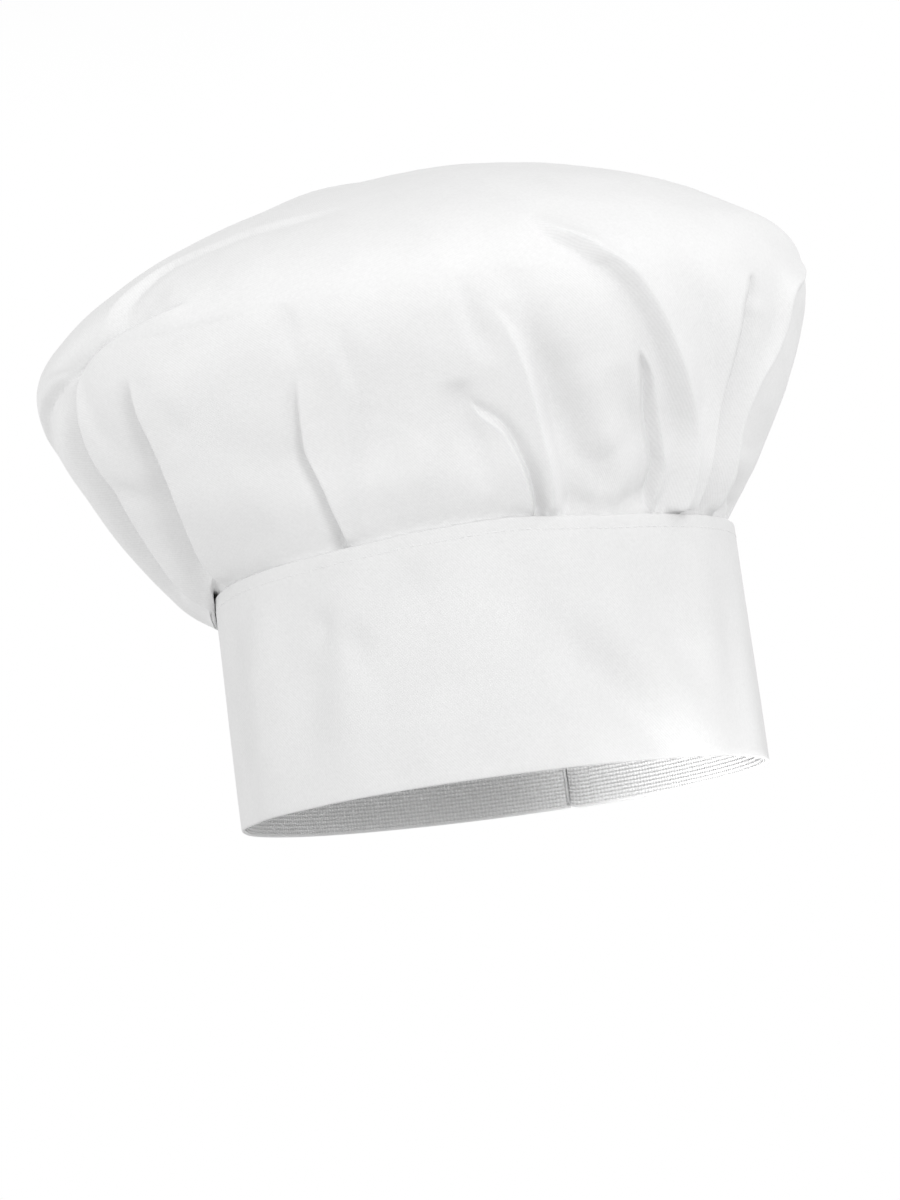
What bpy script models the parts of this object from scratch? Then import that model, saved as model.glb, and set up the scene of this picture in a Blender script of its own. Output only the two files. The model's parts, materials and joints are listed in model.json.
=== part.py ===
"""Chef toque: a full gathered crown sewn into a stiff band that closes with a hook-and-loop tab at the back.

Metres, +Z up, the front faces -Y. The origin is the centre of the head opening, in the plane of the rim.
The band is one strip wound almost twice past its own end: its free end, the tab, lies on the underlap.
Positions along the band are given by lap, in degrees: 0 at the tab's root, growing clockwise from above
round the front to the hidden end of the underlap, and negative along the tab.
"""

import math

import bmesh
import bpy
from mathutils import Vector

# Driving dimensions
BAND_RADIUS = 0.095  # outer face of the band
BAND_HEIGHT = 0.087
CROWN_HEIGHT = 0.228  # top of the crown above the rim
CROWN_EDGE_HEIGHT = 0.165  # height of the crown's widest line
CROWN_RIGHT = 0.131  # reach of that line from the band's axis on each side
CROWN_LEFT = 0.147
CROWN_FRONT = 0.136
CROWN_BACK = 0.132
TAB_LENGTH_DEG = 36.0
TAB_ROOT_ANGLE = 72.0  # from +X towards +Y, so the closure is centred on the back

# Cloth layers, from the outside in
CLEARANCE = 0.0003
OUTER_CLOTH = 0.0006
INTERLINING = 0.0005
LINING = 0.0004
STRIP = 0.0008  # hook strip and loop strip
CROWN_CLOTH = 0.0008
TAPE = 0.0004
THREAD = 0.0004

LAYERS = OUTER_CLOTH + INTERLINING + LINING + 2 * CLEARANCE
LAP_STEP = LAYERS + 2 * STRIP + 3 * CLEARANCE  # from the underlap's outer face to the tab's
EASE_DEG = 36.0  # length of the eased steps at both ends of the band
TAB_END = -TAB_LENGTH_DEG
UNDERLAP_START = 360.0 - TAB_LENGTH_DEG - 2.0
BAND_START = 0.2
BAND_END = 357.0
STEP_DEG = 4.0

# Heights of the layers' edges
LIP = 0.0006  # the outer cloth's turned edge under the other layers
LAYER_BOTTOM = LIP + CLEARANCE
LINING_TOP = BAND_HEIGHT - 0.0015
SEAM_ALLOWANCE = 0.012
TAB_BOTTOM = 0.0018
TAB_TOP = BAND_HEIGHT - 0.0022
TAB_CORNER = 0.012
STRIP_BOTTOM = 0.020
STRIP_TOP = 0.068
TOPSTITCH_DROP = 0.0045

CROWN_BASE = BAND_HEIGHT + 0.0012  # where the crown starts to flare out
CROWN_STEP_DEG = 5.0
FLARE_BULGE = 0.9  # 0 would make the lower crown a plain cone
GATHERS = 18
GATHER_DEPTH = 0.0022
GATHER_REACH = 0.8  # share of the lower crown that the gathers run up

WHITE_CLOTH = (0.86, 0.86, 0.86, 1.0)
WHITE_NONWOVEN = (0.80, 0.80, 0.79, 1.0)
WHITE_TAPE = (0.84, 0.84, 0.83, 1.0)
WHITE_NYLON = (0.78, 0.78, 0.77, 1.0)


def remove_everything():
    """Clears the scene's objects."""
    for old in list(bpy.data.objects):
        bpy.data.objects.remove(old, do_unlink=True)


def make_material(name, colour, roughness):
    """A plain cloth material."""
    material = bpy.data.materials.new(name)
    material.use_nodes = True
    shader = material.node_tree.nodes["Principled BSDF"]
    shader.inputs["Base Color"].default_value = colour
    shader.inputs["Roughness"].default_value = roughness
    shader.inputs["Metallic"].default_value = 0.0
    return material


def ease(share):
    """Smooth step from 0 to 1."""
    share = min(1.0, max(0.0, share))
    return share * share * (3.0 - 2.0 * share)


def lap_angle(lap):
    """Angle from +X, in radians, of a place along the band."""
    return math.radians(TAB_ROOT_ANGLE - lap)


def lap_level(lap):
    """How far the band stands out from its even circle: out at the tab's end, in at the underlap's."""
    out = 1.0 - ease(lap / EASE_DEG)
    into = ease((lap - (UNDERLAP_START - EASE_DEG)) / EASE_DEG)
    return (out - into) * LAP_STEP / 2


def crown_level(angle_deg):
    """Crown's seam and tape: a plain ring, drawn in only where the underlap passes in front of it."""
    centre = TAB_ROOT_ANGLE + TAB_LENGTH_DEG / 2
    away = abs((angle_deg - centre + 180.0) % 360.0 - 180.0)
    return -(1.0 - ease((away - TAB_LENGTH_DEG / 2 - 2.0) / EASE_DEG)) * LAP_STEP / 2


def polar(radius, angle, height):
    return Vector((radius * math.cos(angle), radius * math.sin(angle), height))


def lap_stations(first, last, step=STEP_DEG):
    """Places along the band on the common grid of angles, so that nested layers have parallel facets."""
    stations = [first]
    place = math.floor(first / step + 1.0) * step
    while place < last - 0.02 * step:
        if place > first + 0.02 * step:
            stations.append(place)
        place += step
    stations.append(last)
    return stations


def add_object(name, bm, material, parent=None):
    """Turns a bmesh in world coordinates into a named object, under its parent if it has one."""
    bmesh.ops.recalc_face_normals(bm, faces=bm.faces)
    mesh = bpy.data.meshes.new(name)
    if parent:
        bmesh.ops.translate(bm, verts=bm.verts, vec=-parent.location)
    bm.to_mesh(mesh)
    bm.free()
    mesh.shade_smooth()
    mesh.set_sharp_from_angle(angle=math.radians(35))
    piece = bpy.data.objects.new(name, mesh)
    bpy.context.collection.objects.link(piece)
    piece.data.materials.append(material)
    if parent:
        piece.parent = parent
    return piece


def sweep(sections, closed=False):
    """A solid through a list of like cross-sections, each a ring of points."""
    bm = bmesh.new()
    rings = [[bm.verts.new(point) for point in section] for section in sections]
    pairs = list(zip(rings, rings[1:]))
    if closed:
        pairs.append((rings[-1], rings[0]))
    for ring, following in pairs:
        count = len(ring)
        for i in range(count):
            j = (i + 1) % count
            bm.faces.new((ring[i], ring[j], following[j], following[i]))
    if not closed:
        bm.faces.new(rings[0])
        bm.faces.new(list(reversed(rings[-1])))
    return bm


def strip(first, last, depth, thickness, bottom, top, corner=0.0):
    """A layer of the band: it lies depth under the outer face, with round corners at its first end."""
    sections = []
    rim = math.degrees(corner / BAND_RADIUS)
    stations = set(lap_stations(first, last))
    if corner:
        stations = {s for s in stations if s >= first + rim}
        stations |= {first + rim * (1.0 - math.cos(math.radians(turn))) for turn in range(0, 91, 15)}
    for lap in sorted(stations):
        cut = 0.0
        if corner and lap < first + rim:
            run = (first + rim - lap) / rim
            cut = corner * (1.0 - math.sqrt(max(0.0, 1.0 - run * run)))
            cut = min(cut, corner * 0.93)
        outer = BAND_RADIUS + lap_level(lap) - depth
        angle = lap_angle(lap)
        sections.append(
            [
                polar(outer, angle, bottom + cut),
                polar(outer, angle, top - cut),
                polar(outer - thickness, angle, top - cut),
                polar(outer - thickness, angle, bottom + cut),
            ]
        )
    return sweep(sections)


def make_band_outer(material):
    """Outer cloth of the band, with its lower edge turned in under the other layers."""
    sections = []
    for lap in lap_stations(BAND_START, BAND_END):
        outer = BAND_RADIUS + lap_level(lap)
        angle = lap_angle(lap)
        sections.append(
            [
                polar(outer, angle, 0.0),
                polar(outer, angle, BAND_HEIGHT),
                polar(outer - OUTER_CLOTH, angle, BAND_HEIGHT),
                polar(outer - OUTER_CLOTH, angle, LIP),
                polar(outer - LAYERS, angle, LIP),
                polar(outer - LAYERS, angle, 0.0),
            ]
        )
    return add_object("band_outer", sweep(sections), material)


def make_band_layers(interlining, lining):
    """Stiff interlining and the embossed lining that shows inside."""
    depth = OUTER_CLOTH + CLEARANCE
    shape = strip(BAND_START, BAND_END, depth, INTERLINING, LAYER_BOTTOM, BAND_HEIGHT - 0.0005)
    add_object("band_interlining", shape, interlining)
    depth += INTERLINING + CLEARANCE
    shape = strip(BAND_START, BAND_END, depth, LINING, LAYER_BOTTOM, LINING_TOP)
    add_object("band_lining", shape, lining)


def make_tab(hinge, cloth, interlining, lining, nylon):
    """The free end of the band, in the band's own layers, with the hook strip on its inner face."""
    root = -BAND_START
    shape = strip(TAB_END, root, 0.0, OUTER_CLOTH, TAB_BOTTOM, TAB_TOP, TAB_CORNER)
    add_object("tab_outer", shape, cloth, hinge)
    depth = OUTER_CLOTH + CLEARANCE
    shape = strip(TAB_END, root, depth, INTERLINING, TAB_BOTTOM, TAB_TOP, TAB_CORNER)
    add_object("tab_interlining", shape, interlining, hinge)
    depth += INTERLINING + CLEARANCE
    shape = strip(TAB_END, root, depth, LINING, TAB_BOTTOM, TAB_TOP, TAB_CORNER)
    add_object("tab_lining", shape, lining, hinge)
    depth += LINING + CLEARANCE
    shape = strip(TAB_END + 4.0, -8.0, depth, STRIP, STRIP_BOTTOM, STRIP_TOP)
    add_object("hook_strip", shape, nylon, hinge)


def make_loop_strip(nylon):
    """The soft half of the fastener, on the underlap's outer face."""
    first, last = UNDERLAP_START + 2.0, BAND_END - 5.0
    shape = strip(first, last, -CLEARANCE - STRIP, STRIP, STRIP_BOTTOM, STRIP_TOP)
    add_object("loop_strip", shape, nylon)


def crown_reach(angle):
    """Distance from the band's axis to the crown's widest line: four quarter ellipses."""
    side = CROWN_RIGHT if math.cos(angle) > 0 else CROWN_LEFT
    depth = CROWN_BACK if math.sin(angle) > 0 else CROWN_FRONT
    return 1.0 / math.hypot(math.cos(angle) / side, math.sin(angle) / depth)


def crown_point(angle, share, inset=0.0):
    """A point of the crown's outer face.

    share runs from 0 where the cloth leaves the band, through 1 at the widest line, to 2 at the top.
    inset moves the point towards the inside.
    """
    reach = crown_reach(angle)
    neck = BAND_RADIUS - LAYERS - CLEARANCE + crown_level(math.degrees(angle))
    if share <= 1.0:
        flare = share + FLARE_BULGE * share * share * (1.0 - share)
        radius = neck + (reach - neck) * flare
        height = CROWN_BASE + (CROWN_EDGE_HEIGHT - CROWN_BASE) * share
        fade = math.sin(math.pi * min(1.0, share / GATHER_REACH))
        radius += GATHER_DEPTH * fade * math.cos(GATHERS * angle)
        away = Vector((math.cos(angle), math.sin(angle), -0.75 * (1.0 - share)))
    else:
        turn = (share - 1.0) * math.pi / 2
        lean = math.cos(angle)
        radius = reach * math.cos(turn)
        flat = radius / reach
        rise = (1.0 - flat ** (1.8 + 0.2 * lean)) ** (1.0 / (1.75 + 0.25 * lean))
        height = CROWN_EDGE_HEIGHT + (CROWN_HEIGHT - CROWN_EDGE_HEIGHT) * rise
        away = Vector((math.cos(angle) * math.cos(turn), math.sin(angle) * math.cos(turn), math.sin(turn)))
    away.normalize()
    return polar(radius, angle, height) - away * inset


def make_crown(material):
    """The crown: one round of cloth, its gathered edge sewn inside the band's top edge."""
    bm = bmesh.new()
    shares = [0.06, 0.14, 0.26, 0.4, 0.55, 0.7, 0.85, 1.0, 1.15, 1.3, 1.47, 1.65, 1.83]
    angles = [math.radians(CROWN_STEP_DEG * i) for i in range(round(360.0 / CROWN_STEP_DEG))]
    hem = BAND_HEIGHT - SEAM_ALLOWANCE

    def ring(points):
        return [bm.verts.new(point) for point in points]

    def join(lower, upper, outward):
        for i in range(len(lower)):
            j = (i + 1) % len(lower)
            face = (lower[i], lower[j], upper[j], upper[i])
            bm.faces.new(face if outward else tuple(reversed(face)))

    def cap(ring_below, point, outward):
        for i in range(len(ring_below)):
            j = (i + 1) % len(ring_below)
            face = (ring_below[i], ring_below[j], point)
            bm.faces.new(face if outward else tuple(reversed(face)))

    def upright_ring(height, inset):
        """A level ring of the straight hem inside the band."""
        places = [crown_point(angle, 0.0) for angle in angles]
        radii = [math.hypot(place.x, place.y) - inset for place in places]
        return ring([polar(radius, angle, height) for radius, angle in zip(radii, angles)])

    outer = [upright_ring(hem, 0.0), upright_ring(CROWN_BASE, 0.0)]
    inner = [upright_ring(hem, CROWN_CLOTH), upright_ring(CROWN_BASE, CROWN_CLOTH)]
    for share in shares:
        outer.append(ring([crown_point(angle, share) for angle in angles]))
        inner.append(ring([crown_point(angle, share, CROWN_CLOTH) for angle in angles]))
    for lower, upper in zip(outer, outer[1:]):
        join(lower, upper, True)
    for lower, upper in zip(inner, inner[1:]):
        join(lower, upper, False)
    join(inner[0], outer[0], True)
    cap(outer[-1], bm.verts.new((0.0, 0.0, CROWN_HEIGHT)), True)
    cap(inner[-1], bm.verts.new((0.0, 0.0, CROWN_HEIGHT - CROWN_CLOTH)), False)
    return add_object("crown_panel", bm, material)


def make_seam_tape(material):
    """Tape that covers the crown's raw edge inside the band."""
    sections = []
    angle_deg = 0.0
    while angle_deg < 360.0:
        outer = BAND_RADIUS - LAYERS - CROWN_CLOTH - 2 * CLEARANCE + crown_level(angle_deg)
        angle = math.radians(angle_deg)
        top = BAND_HEIGHT - 0.001
        bottom = BAND_HEIGHT - SEAM_ALLOWANCE - 0.003
        sections.append(
            [
                polar(outer, angle, bottom),
                polar(outer, angle, top),
                polar(outer - TAPE, angle, top),
                polar(outer - TAPE, angle, bottom),
            ]
        )
        angle_deg += CROWN_STEP_DEG
    return add_object("seam_tape", sweep(sections, closed=True), material)


def make_slit_binding(material):
    """Narrow bound edge of the crown's back slit, running up from the tab's root."""
    half_width = math.radians(2.6)
    centre = math.radians(TAB_ROOT_ANGLE + 4.0)
    sections = []
    steps = 12
    for i in range(steps + 1):
        share = 0.08 + 0.60 * i / steps
        near = 3 * CLEARANCE
        far = near + OUTER_CLOTH
        sections.append(
            [
                crown_point(centre - half_width, share, -near),
                crown_point(centre - half_width, share, -far),
                crown_point(centre, share, -far),
                crown_point(centre + half_width, share, -far),
                crown_point(centre + half_width, share, -near),
                crown_point(centre, share, -near),
            ]
        )
    return add_object("slit_binding", sweep(sections), material)


def make_care_label(material):
    """Blank sewn-in label, hanging from the seam tape inside."""
    sections = []
    for lap in lap_stations(292.0, 308.0):
        angle = lap_angle(lap)
        outer = BAND_RADIUS + crown_level(math.degrees(angle)) - LAYERS - CROWN_CLOTH - TAPE - 3 * CLEARANCE
        sections.append(
            [
                polar(outer, angle, BAND_HEIGHT - 0.040),
                polar(outer, angle, BAND_HEIGHT - 0.003),
                polar(outer - CLEARANCE, angle, BAND_HEIGHT - 0.003),
                polar(outer - CLEARANCE, angle, BAND_HEIGHT - 0.040),
            ]
        )
    return add_object("care_label", sweep(sections), material)


def make_thread(name, points, closed, material, parent=None):
    """A row of stitches as one thin cord."""
    curve = bpy.data.curves.new(name, "CURVE")
    curve.dimensions = "3D"
    curve.bevel_depth = THREAD / 2
    curve.bevel_resolution = 0
    curve.use_fill_caps = True
    spline = curve.splines.new("POLY")
    spline.points.add(len(points) - 1)
    shift = parent.location if parent else Vector((0.0, 0.0, 0.0))
    for place, point in zip(spline.points, points):
        place.co = (*(point - shift), 1.0)
    spline.use_cyclic_u = closed
    piece = bpy.data.objects.new(name, curve)
    bpy.context.collection.objects.link(piece)
    piece.data.materials.append(material)
    if parent:
        piece.parent = parent
    return piece


def make_threads(hinge, material):
    """Top row round the band, the row that holds crown and tape, and the row round the tab's edge."""
    stand_off = CLEARANCE + THREAD * 0.75
    row = []
    for lap in lap_stations(BAND_START + 1.0, UNDERLAP_START - 2.0):
        row.append(polar(BAND_RADIUS + lap_level(lap) + stand_off, lap_angle(lap), BAND_HEIGHT - TOPSTITCH_DROP))
    make_thread("band_top_thread", row, False, material)

    row = []
    for i in range(round(360.0 / CROWN_STEP_DEG)):
        angle_deg = CROWN_STEP_DEG * i
        inner = BAND_RADIUS - LAYERS - CROWN_CLOTH - TAPE - 3 * CLEARANCE + crown_level(angle_deg)
        row.append(polar(inner - 2 * CLEARANCE - THREAD * 0.75, math.radians(angle_deg), BAND_HEIGHT - 0.007))
    make_thread("crown_seam_thread", row, True, material)

    margin = 0.004
    first = TAB_END + math.degrees(margin / BAND_RADIUS)
    row = []
    level = BAND_RADIUS + LAP_STEP / 2 + stand_off
    lower, upper = TAB_BOTTOM + margin, TAB_TOP - margin
    inner_corner = TAB_CORNER - margin
    corner_deg = math.degrees(inner_corner / BAND_RADIUS)
    for lap in lap_stations(first + corner_deg, -1.5)[::-1]:
        row.append(polar(level, lap_angle(lap), upper))
    for turn in range(15, 90, 15):
        lap = first + corner_deg * (1.0 - math.sin(math.radians(turn)))
        row.append(polar(level, lap_angle(lap), upper - inner_corner * (1.0 - math.cos(math.radians(turn)))))
    for turn in range(75, 0, -15):
        lap = first + corner_deg * (1.0 - math.sin(math.radians(turn)))
        row.append(polar(level, lap_angle(lap), lower + inner_corner * (1.0 - math.cos(math.radians(turn)))))
    for lap in lap_stations(first + corner_deg, -1.5):
        row.append(polar(level, lap_angle(lap), lower))
    make_thread("tab_edge_thread", row, False, material, hinge)


def make_hinge():
    """Fold line of the tab: an upright axis on the outer face of the cloth at the tab's root."""
    hinge = bpy.data.objects.new("tab_hinge", None)
    hinge.empty_display_size = 0.02
    hinge.location = polar(BAND_RADIUS + LAP_STEP / 2, lap_angle(0.0), 0.0)
    bpy.context.collection.objects.link(hinge)
    bpy.context.view_layer.update()
    return hinge


def main():
    remove_everything()
    cloth = make_material("white_twill", WHITE_CLOTH, 0.85)
    nonwoven = make_material("white_nonwoven", WHITE_NONWOVEN, 0.9)
    tape = make_material("white_tape", WHITE_TAPE, 0.85)
    nylon = make_material("white_nylon", WHITE_NYLON, 0.7)
    hinge = make_hinge()
    make_crown(cloth)
    make_band_outer(cloth)
    make_band_layers(nonwoven, nonwoven)
    make_tab(hinge, cloth, nonwoven, nonwoven, nylon)
    make_loop_strip(nylon)
    make_seam_tape(tape)
    make_slit_binding(tape)
    make_care_label(tape)
    make_threads(hinge, tape)
    bpy.context.view_layer.update()


main()
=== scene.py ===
"""Looks of a white chef toque: gathered twill crown, stiff band with embossed lining, closure at the back.

Everything is in metres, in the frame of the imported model: +Z up, the front faces -Y.
Azimuths are in degrees from +X towards +Y, so -90 is the middle of the front and 90 the middle of the back.
"""

import json
import math
import random

import bpy
import numpy as np
from mathutils import Matrix, Vector, noise


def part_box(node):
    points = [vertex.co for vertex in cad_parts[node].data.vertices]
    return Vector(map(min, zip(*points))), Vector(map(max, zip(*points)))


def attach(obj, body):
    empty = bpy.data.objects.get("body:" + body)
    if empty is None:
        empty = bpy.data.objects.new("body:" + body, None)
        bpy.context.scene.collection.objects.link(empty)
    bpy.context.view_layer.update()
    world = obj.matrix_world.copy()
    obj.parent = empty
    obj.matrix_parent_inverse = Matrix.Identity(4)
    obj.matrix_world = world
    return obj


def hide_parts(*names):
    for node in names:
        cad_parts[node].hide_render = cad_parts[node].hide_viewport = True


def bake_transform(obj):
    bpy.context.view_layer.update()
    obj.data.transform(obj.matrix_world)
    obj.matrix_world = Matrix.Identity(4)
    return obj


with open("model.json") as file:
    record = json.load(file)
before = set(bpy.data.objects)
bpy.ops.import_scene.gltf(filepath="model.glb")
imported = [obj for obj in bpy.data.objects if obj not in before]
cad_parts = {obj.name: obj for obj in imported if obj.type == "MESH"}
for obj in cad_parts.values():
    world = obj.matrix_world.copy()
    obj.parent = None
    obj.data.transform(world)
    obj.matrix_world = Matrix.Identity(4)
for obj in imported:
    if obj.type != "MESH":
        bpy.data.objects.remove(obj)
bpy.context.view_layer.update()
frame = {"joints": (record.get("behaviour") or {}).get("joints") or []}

MM = 0.001

# Sizes read from the frame
BAND_LOW, BAND_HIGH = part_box("band_outer")
CROWN_LOW, CROWN_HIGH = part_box("crown_panel")
BAND_RADIUS = -BAND_LOW.y
BAND_HEIGHT = BAND_HIGH.z
CROWN_FRONT = -CROWN_LOW.y
CROWN_BACK = CROWN_HIGH.y
CROWN_LEFT = -CROWN_LOW.x
CROWN_RIGHT = CROWN_HIGH.x
CROWN_TOP = CROWN_HIGH.z
HEM_HEIGHT = CROWN_LOW.z
HINGE = Vector(frame["joints"][0]["pos_m"])
TAB_ROOT_ANGLE = math.degrees(math.atan2(HINGE.y, HINGE.x))
LAP_STEP = 2 * (math.hypot(HINGE.x, HINGE.y) - BAND_RADIUS)

# The band's layers, from the outside in, and the way it is wound
CLEARANCE = 0.3 * MM
OUTER_CLOTH = 0.6 * MM
INTERLINING = 0.5 * MM
LINING = 0.4 * MM
LAYERS = OUTER_CLOTH + INTERLINING + LINING + 2 * CLEARANCE
CROWN_CLOTH = 0.8 * MM
TAPE = 0.4 * MM
STRIP = 0.8 * MM
EASE_DEG = 36.0
TAB_LENGTH_DEG = 36.0
UNDERLAP_START = 360.0 - TAB_LENGTH_DEG - 2.0
BAND_END = 357.0

# The crown
SEAM_ABOVE_EDGE = 0.4 * MM
CROWN_EDGE = 165 * MM
FLARE_BULGE = 0.9


# ---------------------------------------------------------------- small helpers


def smooth(share):
    """Rises from 0 to 1 with level ends as share goes from 0 to 1."""
    share = np.clip(share, 0.0, 1.0)
    return share * share * (3.0 - 2.0 * share)


def ramp(value, start, end):
    """Rises smoothly from 0 at start to 1 at end."""
    return smooth((value - start) / (end - start))


def bell(distance):
    """1 at no distance, falling off on both sides to about a third at a distance of 1."""
    return np.exp(-(distance ** 2))


def turn_from(azimuth, centre):
    """Signed angle from centre to azimuth, in degrees, from -180 to 180."""
    return (azimuth - centre + 180.0) % 360.0 - 180.0


def lap_level(lap):
    """How far the wound band stands out from an even circle."""
    out = 1.0 - smooth(lap / EASE_DEG)
    into = ramp(lap, UNDERLAP_START - EASE_DEG, UNDERLAP_START)
    return (out - into) * LAP_STEP / 2


def seam_level(azimuth):
    """How far the crown's seam is drawn in behind the closure."""
    away = np.abs(turn_from(azimuth, TAB_ROOT_ANGLE + TAB_LENGTH_DEG / 2))
    return -(1.0 - smooth((away - TAB_LENGTH_DEG / 2 - 2.0) / EASE_DEG)) * LAP_STEP / 2


def ring_table(azimuth, table):
    """Value at azimuth from a short table of (azimuth, value), smooth and closed round the ring."""
    table = sorted(table)
    places = [a for a, _ in table]
    values = [v for _, v in table]
    places = [places[-1] - 360.0] + places + [places[0] + 360.0]
    values = [values[-1]] + values + [values[0]]
    wrapped = (np.asarray(azimuth) - places[0]) % 360.0 + places[0]
    index = np.clip(np.searchsorted(places, wrapped, side="right") - 1, 0, len(places) - 2)
    places, values = np.array(places), np.array(values)
    share = (wrapped - places[index]) / (places[index + 1] - places[index])
    return values[index] + (values[index + 1] - values[index]) * smooth(share)


def cloud(points, size, seed):
    """Soft noise from -1 to 1 at each point, with features about size across."""
    offset = Vector((seed * 7.3, seed * 3.1, seed * 5.7))
    return np.array([noise.noise(Vector(p) / size + offset) for p in points])


def mesh_object(name, vertices, faces, uvs=None):
    mesh = bpy.data.meshes.new(name)
    mesh.from_pydata([tuple(v) for v in vertices], [], faces)
    mesh.update()
    mesh.shade_smooth()
    if uvs is not None:
        layer = mesh.uv_layers.new(name="cloth")
        layer.data.foreach_set("uv", np.asarray(uvs, np.float32).ravel())
    piece = bpy.data.objects.new(name, mesh)
    bpy.context.scene.collection.objects.link(piece)
    return piece


def closed_sheet(name, outer, inner, uv):
    """A sheet with two faces from two like grids of points, rows by columns, joined all round its edge."""
    rows, columns = outer.shape[:2]
    shift = rows * columns
    vertices = np.concatenate([outer.reshape(-1, 3), inner.reshape(-1, 3)])
    places = np.tile(uv.reshape(-1, 2), (2, 1))
    faces = []
    for row in range(rows - 1):
        for column in range(columns - 1):
            a = row * columns + column
            b, c = a + 1, a + columns
            d = c + 1
            faces.append((a, b, d, c))
            faces.append((shift + a, shift + c, shift + d, shift + b))
    for a in range(columns - 1):
        c = a + (rows - 1) * columns
        faces.append((shift + a, shift + a + 1, a + 1, a))
        faces.append((c, c + 1, shift + c + 1, shift + c))
    for a in range(0, shift - columns, columns):
        b = a + columns - 1
        faces.append((a, a + columns, shift + a + columns, shift + a))
        faces.append((shift + b, shift + b + columns, b + columns, b))
    uvs = [places[index] for face in faces for index in face]
    return mesh_object(name, vertices, faces, uvs)


def finish_piece(piece, material, body, slot, *nodes):
    piece.data.materials.clear()
    piece.data.materials.append(material)
    if nodes:
        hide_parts(*nodes)
    if body:
        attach(piece, body)
    return piece


# ---------------------------------------------------------------- materials


class Nodes:
    """Short names for building a node tree."""

    def __init__(self, name):
        self.material = bpy.data.materials.new(name)
        self.material.use_nodes = True
        self.tree = self.material.node_tree
        self.shader = self.tree.nodes["Principled BSDF"]

    def add(self, kind, **settings):
        node = self.tree.nodes.new(kind)
        for key, value in settings.items():
            setattr(node, key, value)
        return node

    def link(self, source, target):
        self.tree.links.new(source, target)

    def math(self, operation, first, second=None, third=None):
        node = self.add("ShaderNodeMath", operation=operation)
        for socket, value in zip(node.inputs, (first, second, third)):
            if value is None:
                continue
            if isinstance(value, (int, float)):
                socket.default_value = value
            else:
                self.link(value, socket)
        return node.outputs[0]

    def weighted(self, *terms):
        """Sum of terms, each a value and its weight."""
        total = None
        for value, weight in terms:
            part = self.math("MULTIPLY", value, weight)
            total = part if total is None else self.math("ADD", total, part)
        return total

    def wave(self, value, length):
        return self.math("SINE", self.math("MULTIPLY", value, 2 * math.pi / length))

    def cloth_directions(self):
        """Distances along the two directions of the flat cloth, in metres."""
        flat = self.add("ShaderNodeUVMap", uv_map="cloth").outputs["UV"]
        split = self.add("ShaderNodeSeparateXYZ")
        self.link(flat, split.inputs[0])
        return split.outputs[0], split.outputs[1]

    def solid(self):
        return self.add("ShaderNodeTexCoord").outputs["Object"]

    def noise(self, vector, scale, detail=3.0, roughness=0.5):
        node = self.add("ShaderNodeTexNoise")
        node.inputs["Scale"].default_value = scale
        node.inputs["Detail"].default_value = detail
        node.inputs["Roughness"].default_value = roughness
        self.link(vector, node.inputs["Vector"])
        return node.outputs["Fac"]

    def colour(self, factor, dark, light, low=0.3, high=0.7):
        ramp = self.add("ShaderNodeValToRGB")
        ramp.color_ramp.elements[0].position = low
        ramp.color_ramp.elements[0].color = (*dark, 1.0)
        ramp.color_ramp.elements[1].position = high
        ramp.color_ramp.elements[1].color = (*light, 1.0)
        self.link(factor, ramp.inputs["Fac"])
        self.link(ramp.outputs["Color"], self.shader.inputs["Base Color"])

    def bump(self, height, distance, strength=1.0, after=None):
        node = self.add("ShaderNodeBump")
        node.inputs["Strength"].default_value = strength
        node.inputs["Distance"].default_value = distance
        self.link(height, node.inputs["Height"])
        if after is not None:
            self.link(after, node.inputs["Normal"])
        return node.outputs["Normal"]

    def surface(self, normal, roughness, specular, sheen=0.0):
        """Connects the bumps and sets the shader. roughness is a number or a socket."""
        if normal is not None:
            self.link(normal, self.shader.inputs["Normal"])
        if isinstance(roughness, float):
            self.shader.inputs["Roughness"].default_value = roughness
        else:
            self.link(roughness, self.shader.inputs["Roughness"])
        self.shader.inputs["Specular IOR Level"].default_value = specular
        self.shader.inputs["Sheen Weight"].default_value = sheen
        return self.material


def twill_material(name, dark, light, pitch=0.80 * MM, depth=0.028 * MM, rumpled=0.5 * MM):
    """White cotton twill: fine diagonal ridges, slubs, pressed-in rumples and a soft nap."""
    n = Nodes(name)
    u, v = n.cloth_directions()
    solid = n.solid()
    wander = n.noise(solid, 60.0, 2.0)
    # ridges run down to the right, at a little over 45 degrees
    ridge = n.wave(n.weighted((u, 0.78), (v, 0.63), (wander, 0.9 * MM)), pitch)
    floats = n.wave(n.weighted((v, 0.95), (u, -0.31)), pitch * 0.9)
    weave = n.math("ADD", n.weighted((ridge, 0.38), (floats, 0.12)), 0.5)
    slub = n.noise(solid, 900.0, 4.0, 0.6)
    rumple = n.noise(solid, 120.0, 5.0, 0.55)
    n.colour(n.weighted((weave, 0.20), (slub, 0.55), (wander, 0.25)), dark, light)
    normal = n.bump(rumple, rumpled, 0.35)
    normal = n.bump(weave, depth, 0.8, normal)
    normal = n.bump(slub, 0.12 * MM, 0.5, normal)
    rough = n.add("ShaderNodeMapRange")
    rough.inputs["To Min"].default_value = 0.78
    rough.inputs["To Max"].default_value = 0.95
    n.link(slub, rough.inputs["Value"])
    n.shader.inputs["Sheen Roughness"].default_value = 0.5
    return n.surface(normal, rough.outputs[0], 0.25, 0.12)


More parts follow.
